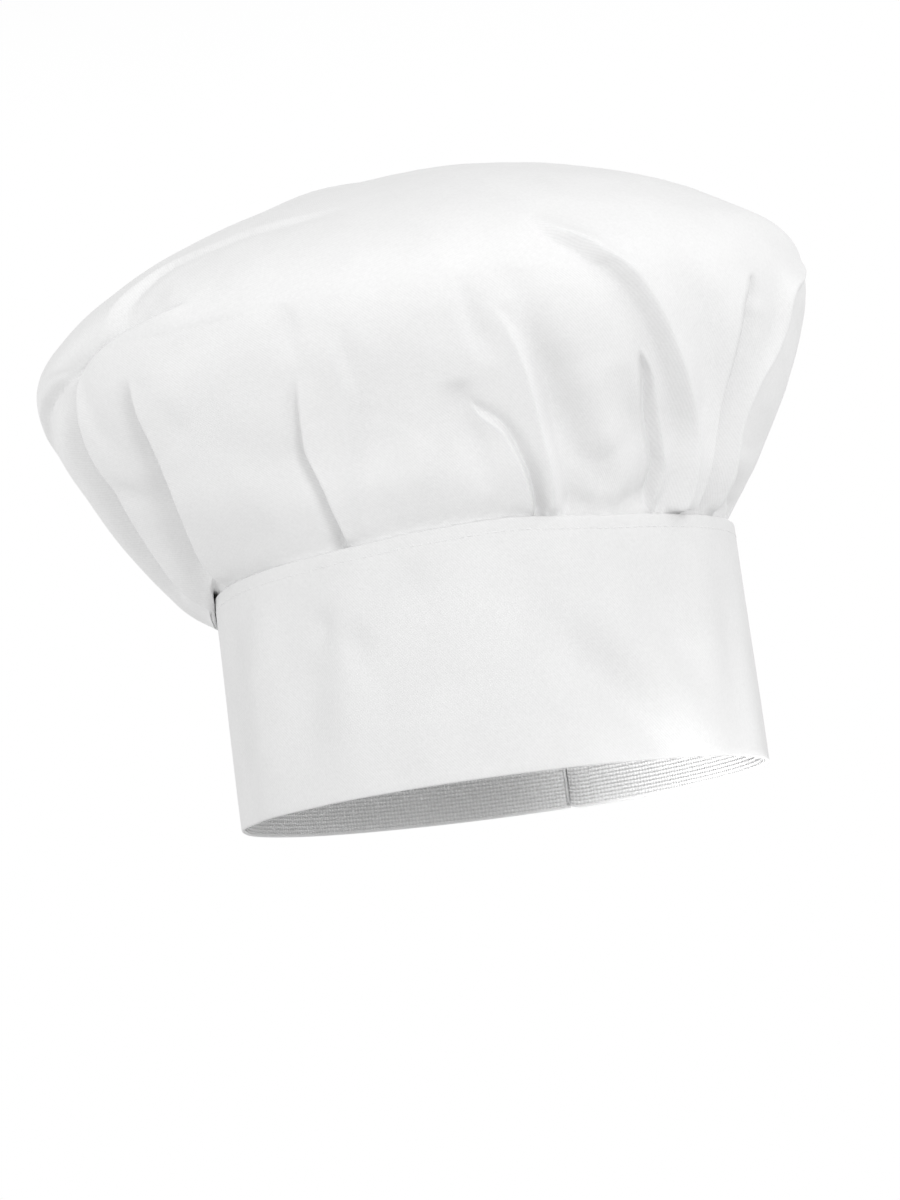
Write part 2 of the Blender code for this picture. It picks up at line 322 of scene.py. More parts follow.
def embossed_material(name, dark, light, pitch=2.0 * MM):
    """White nonwoven, pressed all over with small dots in diagonal rows."""
    n = Nodes(name)
    u, v = n.cloth_directions()
    solid = n.solid()
    rows = n.wave(n.math("ADD", u, v), pitch * math.sqrt(2.0))
    lines = n.wave(n.math("SUBTRACT", u, v), pitch * math.sqrt(2.0))
    dots = n.math("ADD", n.math("MULTIPLY", n.math("MULTIPLY", rows, lines), 0.5), 0.5)
    fibre = n.noise(solid, 1400.0, 4.0, 0.7)
    patch = n.noise(solid, 45.0, 3.0)
    n.colour(n.weighted((dots, 0.45), (fibre, 0.30), (patch, 0.25)), dark, light, 0.25, 0.75)
    normal = n.bump(dots, 0.40 * MM, 1.0)
    normal = n.bump(fibre, 0.10 * MM, 0.5, normal)
    return n.surface(normal, 0.9, 0.2)


def fibre_material(name, dark, light, grain, depth, roughness, sheen=0.1):
    """Tape, felt, pile, thread or nylon: an even cover of fine fibres."""
    n = Nodes(name)
    solid = n.solid()
    fibre = n.noise(solid, 1.0 / grain, 5.0, 0.65)
    patch = n.noise(solid, 70.0, 3.0)
    n.colour(n.weighted((fibre, 0.6), (patch, 0.4)), dark, light)
    return n.surface(n.bump(fibre, depth, 0.8), roughness, 0.25, sheen)


def grey(level):
    return (level, level, level)


def make_materials():
    return {
        "crown": twill_material("crown_twill", grey(0.82), grey(0.90)),
        "band": twill_material("band_twill", grey(0.745), grey(0.825), depth=0.03 * MM, rumpled=0.25 * MM),
        "lining": embossed_material("embossed_nonwoven", grey(0.68), grey(0.86)),
        "interlining": fibre_material("interlining_felt", grey(0.74), grey(0.84), 0.5 * MM, 0.15 * MM, 0.95),
        "tape": fibre_material("cotton_tape", grey(0.78), grey(0.88), 0.45 * MM, 0.12 * MM, 0.85),
        "pile": fibre_material("loop_pile", grey(0.66), grey(0.86), 0.35 * MM, 0.5 * MM, 0.95, 0.4),
        "nylon": fibre_material("hook_nylon", grey(0.70), grey(0.84), 0.4 * MM, 0.15 * MM, 0.55, 0.0),
        "label": fibre_material("satin_label", grey(0.82), grey(0.88), 0.3 * MM, 0.04 * MM, 0.45, 0.3),
        "thread": fibre_material("sewing_thread", grey(0.80), grey(0.90), 0.25 * MM, 0.06 * MM, 0.6, 0.2),
    }


# ---------------------------------------------------------------- the crown
#
# A place on the crown is an azimuth and a share: 0 at the band, 1 at the widest line, 2 at the top.

HEM_SHARE = 0.15
PEAK_DROP = 2.8 * MM
EDGE_ROUNDING = 9 * MM
EDGE_LET_OUT = 1.6 * MM
PUFF = 3.0 * MM
PUFF_SHARE = 0.18
PUFF_REACH = 0.14
LEFT_SIDE = 180.0
FULL_SIDE_SPREAD = 34.0
SIDE_LENGTH = 89 * MM
TOP_LENGTH = 158 * MM
CLOTH_RADIUS = 0.118
SLIT_AZIMUTH = TAB_ROOT_ANGLE + 4.0
FRONT_START = -196.0
FRONT_END = 4.0

# on its left the full cloth hangs over the band's edge, close to the band, and turns up again
SAG = 19 * MM
SAG_AZIMUTH = 172.0
SAG_SPREAD = 20.0
SAG_START = 0.02
SAG_LOWEST = 0.09
DRAWN_IN = 5.0 * MM
DRAWN_IN_REACH = 0.045
OUTSIDE_BAND = 0.015
OVER_BAND = BAND_RADIUS - 0.5 * MM
SECOND_LAYER = 1.5 * MM
HEADROOM = 1.0 * MM

# how far the band's top edge lies above or under its drawn height, in mm, at some azimuths
TOP_EDGE_MM = [(-172, -3.4), (-150, -2.2), (-131, -1.6), (-116, -0.8), (-100, 0.3), (-83, 1.0), (-66, -0.6),
               (-60, -1.2), (-38, -1.4), (-11, -1.1), (25, -0.4), (60, 0.0), (120, 0.0), (155, -1.4)]


def band_edge(azimuth):
    """Height of the band's top edge."""
    return BAND_HEIGHT + ring_table(azimuth, TOP_EDGE_MM) * MM


def crown_reach(azimuth):
    """Distance from the band's axis to the crown's widest line."""
    angle = np.radians(azimuth)
    side = np.where(np.cos(angle) > 0, CROWN_RIGHT, CROWN_LEFT)
    depth = np.where(np.sin(angle) > 0, CROWN_BACK, CROWN_FRONT)
    return 1.0 / np.hypot(np.cos(angle) / side, np.sin(angle) / depth)


def hanging(azimuth):
    """How much the cloth hangs over the band's edge, from 0 to 1."""
    return bell(turn_from(azimuth, SAG_AZIMUTH) / SAG_SPREAD)


def side_profile(azimuth, share):
    """Radius and height of the crown's plain side, from its hem inside the band to its widest line."""
    neck = BAND_RADIUS - LAYERS - CLEARANCE + seam_level(azimuth)
    hang = hanging(azimuth)
    full = bell(turn_from(azimuth, LEFT_SIDE) / FULL_SIDE_SPREAD)
    low = np.clip(share, 0.0, 1.0)
    even_flare = low + FLARE_BULGE * low * low * (1.0 - low)
    full_flare = np.sin(low * math.pi / 2) ** (0.9 + 0.15 * hang)
    flare = even_flare + (full_flare - even_flare) * full
    puff = PUFF * bell((share - PUFF_SHARE) / PUFF_REACH) * ramp(share, 0.0, 0.08)
    radius = neck + (crown_reach(azimuth) - neck) * flare + puff * (1.0 - full)
    base = band_edge(azimuth) + SEAM_ABOVE_EDGE
    height = base + (CROWN_EDGE - base) * low
    hem = np.clip(-share / HEM_SHARE, 0.0, 1.0)
    height = np.where(share < 0.0, base - (base - HEM_HEIGHT) * hem, height)
    down = ramp(share, SAG_START, SAG_LOWEST)
    up = np.clip((1.0 - share) / (1.0 - SAG_LOWEST), 0.0, 1.0) ** 1.7
    height = height - SAG * hang * down * up
    held = np.clip(2.0 * hang, 0.0, 1.0) * bell((share - SAG_LOWEST) / DRAWN_IN_REACH)
    radius = radius - DRAWN_IN * held
    beside_band = (share > OUTSIDE_BAND) & (height < base + HEADROOM)
    return np.where(beside_band, np.maximum(radius, OVER_BAND), radius), height


def crown_profile(azimuth, share):
    """Radius and height of the plain crown."""
    radius, height = side_profile(azimuth, share)
    turn = (np.clip(share, 1.0, 2.0) - 1.0) * math.pi / 2
    lean = np.cos(np.radians(azimuth))
    flat = np.cos(turn)
    # the top's outline is an ellipse on the right and a little more pointed on the left
    rise = np.clip(1.0 - flat ** (1.85 + 0.15 * lean), 0.0, 1.0) ** (1.0 / (1.83 + 0.17 * lean))
    over = share > 1.0
    radius = np.where(over, crown_reach(azimuth) * flat, radius)
    height = np.where(over, CROWN_EDGE + (CROWN_TOP - PEAK_DROP - CROWN_EDGE) * rise, height)
    return radius, height


def rounded_profile(azimuth, shares):
    """The plain crown's radius and height with its widest line rounded, rows by columns."""
    share = np.repeat(shares[:, None], azimuth.shape[1], axis=1)
    radius, height = crown_profile(azimuth, share)
    steps = np.hypot(np.diff(radius, axis=0), np.diff(height, axis=0))
    travelled = np.vstack([np.zeros(azimuth.shape[1]), np.cumsum(steps, axis=0)])
    middle = travelled[np.argmin(np.abs(shares - 1.0))]
    near_edge = bell((travelled - middle) / (3.0 * EDGE_ROUNDING))
    weights = bell((travelled[:, None] - travelled[None, :]) / EDGE_ROUNDING)
    weights = weights * np.gradient(travelled, axis=0)[None, :]
    weights /= weights.sum(axis=1, keepdims=True)
    soft_radius = (weights * radius[None, :]).sum(axis=1)
    soft_height = (weights * height[None, :]).sum(axis=1)
    radius = radius + (soft_radius - radius) * near_edge
    height = height + (soft_height - height) * near_edge
    # the rounding draws the widest line in a little, so it is let out again
    return radius + EDGE_LET_OUT * near_edge, height


def meridian_length(share):
    """Length of cloth from the band up to share, close enough for placing folds."""
    return np.where(share < 1.0, SIDE_LENGTH * share, SIDE_LENGTH + TOP_LENGTH * (share - 1.0))


LEFT, RIGHT = -1, 1


def fold(path, crest, trough, cliff, ease, recover, proud=RIGHT, over=0.0, crisp=0.8):
    """One pleat of the crown, as lengths in millimetres.

    path runs from the fold's tip to its root in points of (azimuth, share, size from 0 to 1). On the
    proud side of the path the cloth stands crest high and falls back to the plain surface within ease.
    On its other side it drops within cliff to trough deep and comes back within recover. For a path that
    runs down, RIGHT is to the right as one faces the hat. over pushes the crest out across the trough.
    crisp is 0 for a round crest and 1 for a sharp one.
    """
    sizes = [value * MM for value in (crest, trough, cliff, ease, recover, over)]
    return path, sizes, proud, crisp


def swell(path, height, left, right):
    """A soft ridge along path, or a soft valley where height is below zero, with a reach to each side."""
    return path, height * MM, left * MM, right * MM


def left_folds():
    return {
        "far_left": fold(
            [(-152.5, 0.97, 0), (-153.5, 0.90, 0.5), (-155, 0.78, 0.8), (-157.5, 0.64, 1), (-159.5, 0.49, 1),
             (-163, 0.34, 1), (-168, 0.18, 1), (-175, 0.08, 0.9), (-182, 0.0, 0.6)],
            crest=3.0, trough=11.0, cliff=4.0, ease=14, recover=9, over=1.2),
        "left": fold(
            [(-141, 0.84, 0), (-142.3, 0.72, 0.4), (-143, 0.60, 0.6), (-144.5, 0.48, 0.75), (-146, 0.37, 0.9),
             (-150.5, 0.21, 1), (-156, 0.09, 1), (-161.5, 0.0, 0.8)],
            crest=3.0, trough=11.0, cliff=3.5, ease=15, recover=9.5, over=1.2),
        "groove": fold(
            [(-113.5, 0.68, 0), (-114.5, 0.59, 0.5), (-116, 0.46, 0.8), (-116.5, 0.38, 1),
             (-115.8, 0.22, 1), (-116, 0.07, 1), (-117, 0.0, 1)],
            crest=2.2, trough=3.9, cliff=2.2, ease=8, recover=3.8, over=0.5),
        "groove_ridge": fold(
            [(-105.5, 0.86, 0), (-106.5, 0.74, 0.8), (-106.5, 0.59, 1), (-107.5, 0.48, 1), (-109, 0.35, 0.8),
             (-111, 0.20, 0.4), (-113, 0.06, 0)],
            crest=1.5, trough=1.2, cliff=4.0, ease=8, recover=8, proud=LEFT, crisp=0.3),
    }


def middle_folds():
    return {
        "middle_lobe": fold(
            [(-88, 0.49, 0), (-86.5, 0.43, 0.5), (-83, 0.36, 0.7), (-81, 0.27, 0.9), (-78.5, 0.13, 1),
             (-76.8, 0.0, 1)],
            crest=2.2, trough=4.0, cliff=2.0, ease=9, recover=3.6, proud=LEFT, over=0.7),
        "bright_ridge": fold(
            [(-83, 0.86, 0), (-80, 0.69, 0.4), (-78, 0.54, 0.8), (-76, 0.35, 1), (-74, 0.17, 1),
             (-72.3, 0.0, 0.9)],
            crest=3.8, trough=4.8, cliff=7.5, ease=5, recover=10, proud=LEFT, crisp=1.0),
        "hook": fold(
            [(-58, 0.64, 0), (-56.5, 0.60, 0.4), (-54.5, 0.54, 0.7), (-52, 0.41, 1), (-49.5, 0.29, 1),
             (-47, 0.17, 1), (-46, 0.06, 1), (-46, 0.0, 1)],
            crest=1.6, trough=5.4, cliff=2.2, ease=9, recover=4.6, over=0.7),
        "long_ridge": fold(
            [(-74, 1.24, 0), (-71, 1.16, 0.6), (-67.5, 1.11, 0.8), (-65, 1.05, 0.9), (-61.5, 0.98, 0.9),
             (-58.5, 0.88, 0.9), (-54.5, 0.73, 0.9), (-50.5, 0.59, 1), (-47, 0.47, 1), (-44, 0.35, 1),
             (-42.2, 0.22, 1), (-41, 0.09, 1), (-41, 0.0, 1)],
            crest=4.4, trough=3.0, cliff=7, ease=9, recover=11, crisp=1.0),
    }


def right_folds():
    return {
        "right_lip": fold(
            [(-36, 0.98, 0), (-37.3, 0.92, 0.5), (-38.8, 0.84, 0.8), (-39.3, 0.72, 1), (-39, 0.57, 1),
             (-38.5, 0.38, 1), (-38.3, 0.20, 1), (-38.3, 0.0, 1)],
            crest=3.4, trough=12.0, cliff=3.0, ease=8, recover=8, proud=LEFT, over=1.4),
        "right_edge": fold(
            [(-7, 1.11, 0), (-14, 1.04, 0.6), (-20, 0.99, 1), (-23.5, 0.95, 1), (-25.5, 0.88, 1),
             (-26, 0.77, 1), (-27, 0.67, 1), (-28.8, 0.56, 1), (-29.3, 0.40, 1), (-28.5, 0.24, 1),
             (-27, 0.10, 0.8), (-25.5, 0.0, 0.7)],
            crest=4.2, trough=4.5, cliff=12, ease=5, recover=24, proud=LEFT, crisp=0.8),
        "right_corner": fold(
            [(-27, 0.20, 0), (-24.5, 0.15, 0.8), (-17, 0.09, 1), (-10, 0.04, 1), (-5.5, 0.0, 1)],
            crest=1.4, trough=3.0, cliff=2.4, ease=8, recover=6, proud=LEFT),
    }


def top_folds():
    return {
        "top_flap": fold(
            [(-178, 0.82, 0.2), (-170, 0.90, 0.5), (-162, 0.95, 0.9), (-154, 1.01, 0.8), (-147.5, 1.12, 0.65),
             (-145, 1.24, 0.5), (-142.5, 1.33, 0.35), (-139, 1.38, 0.25), (-133.5, 1.41, 0.2),
             (-125, 1.45, 0.2), (-115, 1.46, 0.15), (-104, 1.48, 0)],
            crest=3.2, trough=5.5, cliff=2.6, ease=20, recover=13, over=2.0),
        "pocket_edge": fold(
            [(-168, 0.88, 0.2), (-155, 0.96, 0.8), (-148, 1.01, 1), (-142, 1.06, 1), (-134, 1.10, 1),
             (-129, 1.14, 0)],
            crest=2.8, trough=6.5, cliff=3.0, ease=16, recover=9, proud=LEFT, over=0.4),
    }


def front_folds():
    """The pleats that show on the front."""
    return {**left_folds(), **middle_folds(), **right_folds(), **top_folds()}


def front_swells():
    """The soft ridges and valleys between the pleats."""
    return [
        swell([(-151, 0.95, 0), (-152, 0.84, 1), (-153, 0.70, 0.6), (-153, 0.60, 0)], -1.4, 3, 5),
        swell([(-161, 0.54, 0), (-158, 0.46, 1), (-155, 0.38, 0.6)], -1.2, 5, 5),
        swell([(-138, 0.84, 0), (-131, 0.90, 1), (-124, 0.96, 0.8), (-118, 1.0, 0)], -1.5, 8, 8),
        swell([(-137, 0.74, 0), (-137, 0.62, 0.8), (-138, 0.5, 0)], -0.9, 5, 5),
        swell([(-124, 0.30, 0), (-132, 0.32, 1), (-144, 0.34, 0.8), (-152, 0.36, 0)], 2.4, 12, 12),
        swell([(-113, 1.02, 0), (-112.5, 0.93, 1), (-113, 0.84, 0.8), (-113, 0.74, 0)], -1.4, 6, 3),
        swell([(-102, 0.30, 0), (-97, 0.30, 1), (-92, 0.26, 0)], 1.6, 12, 12),
        swell([(-88.5, 0.58, 0), (-88.5, 0.50, 0.8), (-87.5, 0.36, 1), (-86.5, 0.22, 0.6), (-86, 0.1, 0)],
              -3.4, 6, 3.5),
        swell([(-86.5, 1.02, 0), (-86.5, 0.9, 0.8), (-85.5, 0.76, 1), (-83.5, 0.62, 0)], -2.2, 3, 5),
        swell([(-81, 1.06, 0), (-79, 0.92, 0.7), (-76.5, 0.72, 1), (-74.5, 0.54, 1), (-71, 0.36, 1),
               (-66.5, 0.22, 1), (-61, 0.12, 0.7), (-57, 0.08, 0)], -2.6, 5, 7),
        swell([(-68, 0.62, 0), (-66, 0.48, 0.8), (-63, 0.32, 1), (-61, 0.22, 0)], 2.4, 7, 8),
        swell([(-61, 0.60, 0), (-59, 0.45, 0.6), (-55, 0.30, 1), (-52, 0.15, 1), (-51, 0.0, 1)], -4.0, 11, 3),
        swell([(-54, 1.02, 0), (-48, 0.86, 0.8), (-44.5, 0.68, 1), (-41.5, 0.50, 0.7), (-40, 0.36, 0)],
              -2.4, 7, 6),
        swell([(-162, 0.90, 0), (-164, 0.80, 0.8), (-167, 0.66, 1), (-169, 0.52, 1), (-173, 0.38, 1),
               (-178, 0.24, 0.7), (-185, 0.12, 0)], 3.0, 10, 6),
        swell([(-225, 1.84, 0), (-195, 1.84, 0.9), (-165, 1.84, 0.9), (-135, 1.84, 0)], 4.4, 18, 22),
        swell([(-215, 1.30, 0), (-190, 1.30, 1), (-172, 1.30, 0.7), (-160, 1.30, 0)], -1.6, 20, 20),
        swell([(-45, 1.25, 0), (-25, 1.21, 0.8), (0, 1.18, 1), (25, 1.20, 0)], 3.0, 14, 14),
        swell([(-22, 0.80, 0), (-6, 0.80, 1), (12, 0.80, 0)], -3.8, 17, 17),
        swell([(-24, 0.13, 0), (-6, 0.13, 1), (40, 0.13, 1), (58, 0.13, 0)], -2.8, 14, 14),
        swell([(-50, 1.72, 0), (-25, 1.72, 0.9), (10, 1.72, 0.9), (45, 1.72, 0)], -1.4, 24, 24),
        swell([(-159, 0.97, 0), (-151, 1.07, 1), (-141, 1.17, 1), (-133, 1.22, 0)], -5.5, 10, 9),
    ]


def back_folds():
    """Pleats of the same kinds on the back, which a fixed seed spreads out."""
    rng = random.Random(11)
    folds = []
    azimuth = 14.0
    while azimuth < 160.0:
        height = rng.uniform(0.35, 0.95)
        drift = rng.uniform(-9.0, 9.0)
        path = []
        for step in range(6):
            share = height * (1.0 - step / 5)
            path.append((azimuth + drift * (share / height) ** 1.5, share, min(1.0, step / 2.2)))
        crest, trough = rng.uniform(1.2, 3.0), rng.uniform(2.0, 4.6)
        cliff, recover = rng.uniform(3.0, 7.0), rng.uniform(6.0, 11.0)
        ease, proud = rng.uniform(8, 18), rng.choice((LEFT, RIGHT))
        if abs(azimuth - SLIT_AZIMUTH) > 8.0:
            folds.append(fold(path, crest, trough, cliff, ease, recover, proud, 0.3, 0.6))
        azimuth += rng.uniform(8.0, 16.0)
    return folds


def rounded(path, steps=6):
    """The path with smooth curves between its points."""
    points = np.array(path, float)
    ends = np.vstack([2 * points[0] - points[1], points, 2 * points[-1] - points[-2]])
    result = []
    for i in range(1, len(ends) - 2):
        before, start, end, after = ends[i - 1], ends[i], ends[i + 1], ends[i + 2]
        for step in range(steps):
            t = step / steps
            bend = 2 * before - 5 * start + 4 * end - after
            twist = 3 * start - before - 3 * end + after
            result.append(0.5 * (2 * start + (end - before) * t + bend * t ** 2 + twist * t ** 3))
    result.append(points[-1])
    return np.array(result)


def nearest_on_path(path, azimuth, share, radius):
    """Signed distance from a path, above zero to the right of a path that runs down, and its size there."""
    best = np.full(azimuth.shape, 1e9)
    signed = np.zeros(azimuth.shape)
    size = np.zeros(azimuth.shape)
    points = rounded(path)
    turns = np.radians(points[:, 0])
    lengths = meridian_length(points[:, 1])
    heading_turn = np.gradient(turns)
    heading_length = np.gradient(lengths)
    height = meridian_length(share)
    for k in range(len(points) - 1):
        x0 = np.radians(turn_from(points[k, 0], azimuth)) * radius
        x1 = x0 + (turns[k + 1] - turns[k]) * radius
        y0, y1 = lengths[k] - height, lengths[k + 1] - height
        dx, dy = x1 - x0, y1 - y0
        t = np.clip(-(x0 * dx + y0 * dy) / (dx * dx + dy * dy + 1e-12), 0.0, 1.0)
        near_x, near_y = x0 + t * dx, y0 + t * dy
        distance = np.hypot(near_x, near_y)
        # the heading turns evenly from point to point, so that both sides meet without a jump
        ahead_x = (heading_turn[k] * (1.0 - t) + heading_turn[k + 1] * t) * radius
        ahead_y = heading_length[k] * (1.0 - t) + heading_length[k + 1] * t
        side = np.sign(ahead_y * near_x - ahead_x * near_y)
        closer = distance < best
        best = np.where(closer, distance, best)
        signed = np.where(closer, side * distance, signed)
        size = np.where(closer, points[k, 2] + t * (points[k + 1, 2] - points[k, 2]), size)
    return signed, np.clip(size, 0.0, 1.0)


def fold_offsets(azimuth, share, radius, one):
    """How far one pleat moves each point outwards and sideways."""
    path, sizes, proud, crisp = one
    crest, trough, cliff, ease, recover, over = sizes
    signed, size = nearest_on_path(path, azimuth, share, radius)
    distance = signed * proud
    cliff = cliff * (0.35 + 0.65 * size)
    recover = recover * (0.4 + 0.6 * size)
    round_top = bell(distance / ease)
    sharp_top = np.exp(-np.abs(distance) / (0.55 * ease))
    rise = crest * (round_top * (1.0 - crisp) + sharp_top * crisp)
    down = smooth(-distance / cliff)
    back = bell(np.maximum(-distance - cliff, 0.0) / recover)
    out = np.where(distance > 0, rise, crest * (1.0 - down) - trough * down * back)
    sideways = -proud * over * bell(distance / (1.2 * cliff))
    return out * size, sideways * size


def swell_offset(azimuth, share, radius, one):
    path, height, left, right = one
    signed, size = nearest_on_path(path, azimuth, share, radius)
    reach = np.where(signed > 0, right, left)
    return height * size * bell(signed / reach)


# The mesh's columns follow these pleats, so that their edges stay crisp. Each has the azimuths it keeps
# above its tip, where the columns of two pleats would cross.
GUIDES = {
    "far_left": [],
    "left": [],
    "groove": [],
    "middle_lobe": [(0.62, -89.0), (1.24, -98.0)],
    "bright_ridge": [(1.24, -89.0)],
    "hook": [(0.90, -67.0), (1.24, -80.0)],
    "long_ridge": [],
    "right_lip": [],
    "right_edge": [],
}
GUIDE_SHARE = 0.35
FINE_STEP = 0.30
PLAIN_STEP = 0.85
BACK_STEP = 0.85
FINE_REACH = 4.0


def guide_lines():
    """Azimuths of the guides as functions of share, from left to right."""
    lines = []
    folds = front_folds()
    for name, above in GUIDES.items():
        places = {share: azimuth for azimuth, share, _ in folds[name][0]}
        places.update(above)
        shares = sorted(places)
        lines.append((shares, [places[share] for share in shares]))
    return lines


def guides_at(share):
    return [float(np.interp(share, shares, azimuths)) for shares, azimuths in guide_lines()]


def crown_columns():
    """Azimuths of the columns at GUIDE_SHARE: close together at the guides."""
    guides = guides_at(GUIDE_SHARE)
    azimuths = []
    azimuth = FRONT_START
    while azimuth < FRONT_END:
        azimuths.append(azimuth)
        away = min(abs(azimuth - g) for g in guides)
        azimuth += FINE_STEP + (PLAIN_STEP - FINE_STEP) * float(smooth((away - 1.5) / FINE_REACH))
    back = int(round((FRONT_START + 360.0 - FRONT_END) / BACK_STEP))
    azimuths += list(np.linspace(FRONT_END, FRONT_START + 360.0, back, endpoint=False))
    return np.array(azimuths)


def crown_shares():
    shares = [-HEM_SHARE, -0.10, -0.05, -0.015]
    shares += list(np.linspace(0.0, 1.0, 70))
    shares += list(1.0 + np.linspace(0.0, 0.5, 43)[1:])
    shares += list(1.5 + 0.485 * np.linspace(0.0, 1.0, 18)[1:])
    return np.array(shares)


def crown_azimuths(columns, shares):
    """Azimuth of every point, rows by columns, with the columns led along the guides."""
    home = [FRONT_START] + guides_at(GUIDE_SHARE) + [FRONT_END, FRONT_START + 360.0]
    rows = []
    for share in shares:
        here = [FRONT_START] + guides_at(max(share, 0.0)) + [FRONT_END, FRONT_START + 360.0]
        rows.append(np.interp(columns, home, here))
    return np.array(rows)


def surface_normals(points):
    """Outward normals of a grid of points, with rows going up and columns going round and closing."""
    across = np.roll(points, -1, axis=1) - np.roll(points, 1, axis=1)
    up = np.gradient(points, axis=0)
    normals = np.cross(across, up)
    return normals / np.maximum(np.linalg.norm(normals, axis=2, keepdims=True), 1e-12)


def relax(points, rounds, amount, keep_rows):
    """Evens out a grid of points that is closed round, leaving its first rows."""
    points = points.copy()
    for _ in range(rounds):
        beside = (np.roll(points, 1, axis=1) + np.roll(points, -1, axis=1)) / 2
        above = points.copy()
        above[1:-1] = (points[:-2] + points[2:]) / 2
        target = (beside + above) / 2
        points[keep_rows:-1] += amount * (target - points)[keep_rows:-1]
    return points


CORNER_SPREAD = 22.0
DEEPEST_GROOVE = 18.0 * MM
GROOVE_HELD = 16.4 * MM
SWELLING_SIZE = 55 * MM
RUMPLE_SIZE = 18 * MM
CREASE_SIZE = 26 * MM
PUCKERS_ROUND = 74
PUCKER_DEPTH = 0.25 * MM


def all_folds(azimuth, share, radius):
    """How far the pleats and swells together move each point outwards and sideways."""
    out = np.zeros(azimuth.shape)
    sideways = np.zeros(azimuth.shape)
    for one in list(front_folds().values()) + back_folds():
        more_out, more_sideways = fold_offsets(azimuth, share, radius, one)
        out += more_out
        sideways += more_sideways
    for one in front_swells():
        out += swell_offset(azimuth, share, radius, one)
    return out, sideways


def held_at_band(azimuth, share, out, sideways):
    """Lets the grooves run on into the seam, but keeps every fold from standing out through the band."""
    above = ramp(share, 0.0, 0.05)
    into_seam = ramp(share, -0.045, -0.005)
    out = np.maximum(out, 0.0) * above + np.minimum(out, 0.0) * into_seam
    corner = bell(turn_from(azimuth, LEFT_SIDE) / CORNER_SPREAD)
    at_seam = 0.9 * (1.0 - ramp(share, 0.0, 0.07))
    at_corner = corner * (1.0 - ramp(share, 0.15, 0.35))
    deepest = DEEPEST_GROOVE - GROOVE_HELD * np.maximum(at_seam, at_corner)
    out = np.where(out < 0.0, -deepest * np.tanh(-out / deepest), out)
    # where the cloth hangs, the layer that lies against the band has no folds of its own
    free = 1.0 - np.clip(3.0 * hanging(azimuth), 0.0, 1.0) * (1.0 - ramp(share, 0.06, 0.14))
    return out * free, sideways * above * free


def small_rumples(plain, angle, share):
    """Soft unevenness all over, and the puckers that the gathering stitches draw."""
    flat_points = plain.reshape(-1, 3)
    swelling = cloud(flat_points, SWELLING_SIZE, 1).reshape(share.shape)
    rumple = cloud(flat_points, RUMPLE_SIZE, 2).reshape(share.shape)
    crease = np.abs(cloud(flat_points, CREASE_SIZE, 3)).reshape(share.shape)
    crease = (0.2 - np.minimum(crease, 0.2)) / 0.2
    soft = ramp(share, 0.0, 0.25) * MM * (1.0 * swelling + 0.3 * rumple - 0.15 * crease)
    pucker = np.sin(angle * PUCKERS_ROUND + 3 * swelling) * bell((share - 0.03) / 0.035)
    return soft + PUCKER_DEPTH * pucker * (share > 0.0)


def clear_of_band(azimuth, share, points):
    """Moves cloth that hangs beside the band outside it, the second layer outside the first."""
    beside_band = (share > OUTSIDE_BAND) & (points[..., 2] < band_edge(azimuth) + HEADROOM)
    reach = np.hypot(points[..., 0], points[..., 1])
    clear = OVER_BAND + SECOND_LAYER * ramp(share, 0.07, 0.12)
    wider = np.where(beside_band, np.maximum(clear / reach, 1.0), 1.0)
    points[..., :2] *= wider[..., None]
    return points


def crown_points(azimuth, shares):
    """The plain crown and its outer face with all its folds, as rows by columns of points."""
    share = np.repeat(shares[:, None], azimuth.shape[1], axis=1)
    radius, height = rounded_profile(azimuth, shares)
    angle = np.radians(azimuth)
    plain = np.stack([radius * np.cos(angle), radius * np.sin(angle), height], axis=2)
    normals = surface_normals(plain)
    out, sideways = all_folds(azimuth, share, np.maximum(radius, 0.02))
    out, sideways = held_at_band(azimuth, share, out, sideways)
    out = out + small_rumples(plain, angle, share)
    tangent = np.stack([-np.sin(angle), np.cos(angle), np.zeros_like(angle)], axis=2)
    points = plain + normals * out[..., None] + tangent * sideways[..., None]
    points = relax(points, 1, 0.5, 4)
    return plain, normals, clear_of_band(azimuth, share, points)


class Faces:
    """Faces of one mesh with their place on the flat cloth at every corner."""

    def __init__(self):
        self.faces = []
        self.uvs = []

    def add(self, corners, places, outwards):
        order = 1 if outwards else -1
        self.faces.append(tuple(corners[::order]))
        self.uvs.extend(places[::order])

    def grid(self, rows, columns, uv, outwards=True):
        """A grid that closes round: rows is a list of first indices."""
        for row, (low, high) in enumerate(zip(rows, rows[1:])):
            for column in range(columns):
                following = (column + 1) % columns
                corners = [low + column, low + following, high + following, high + column]
                places = [uv[row][column], uv[row][column + 1], uv[row + 1][column + 1], uv[row + 1][column]]
                self.add(corners, places, outwards)

    def fan(self, first, columns, tip, uv, outwards=True):
        for column in range(columns):
            corners = [first + column, first + (column + 1) % columns, tip]
            self.add(corners, [uv[column], uv[column + 1], uv[column]], outwards)


INNER_STRIDE = 3


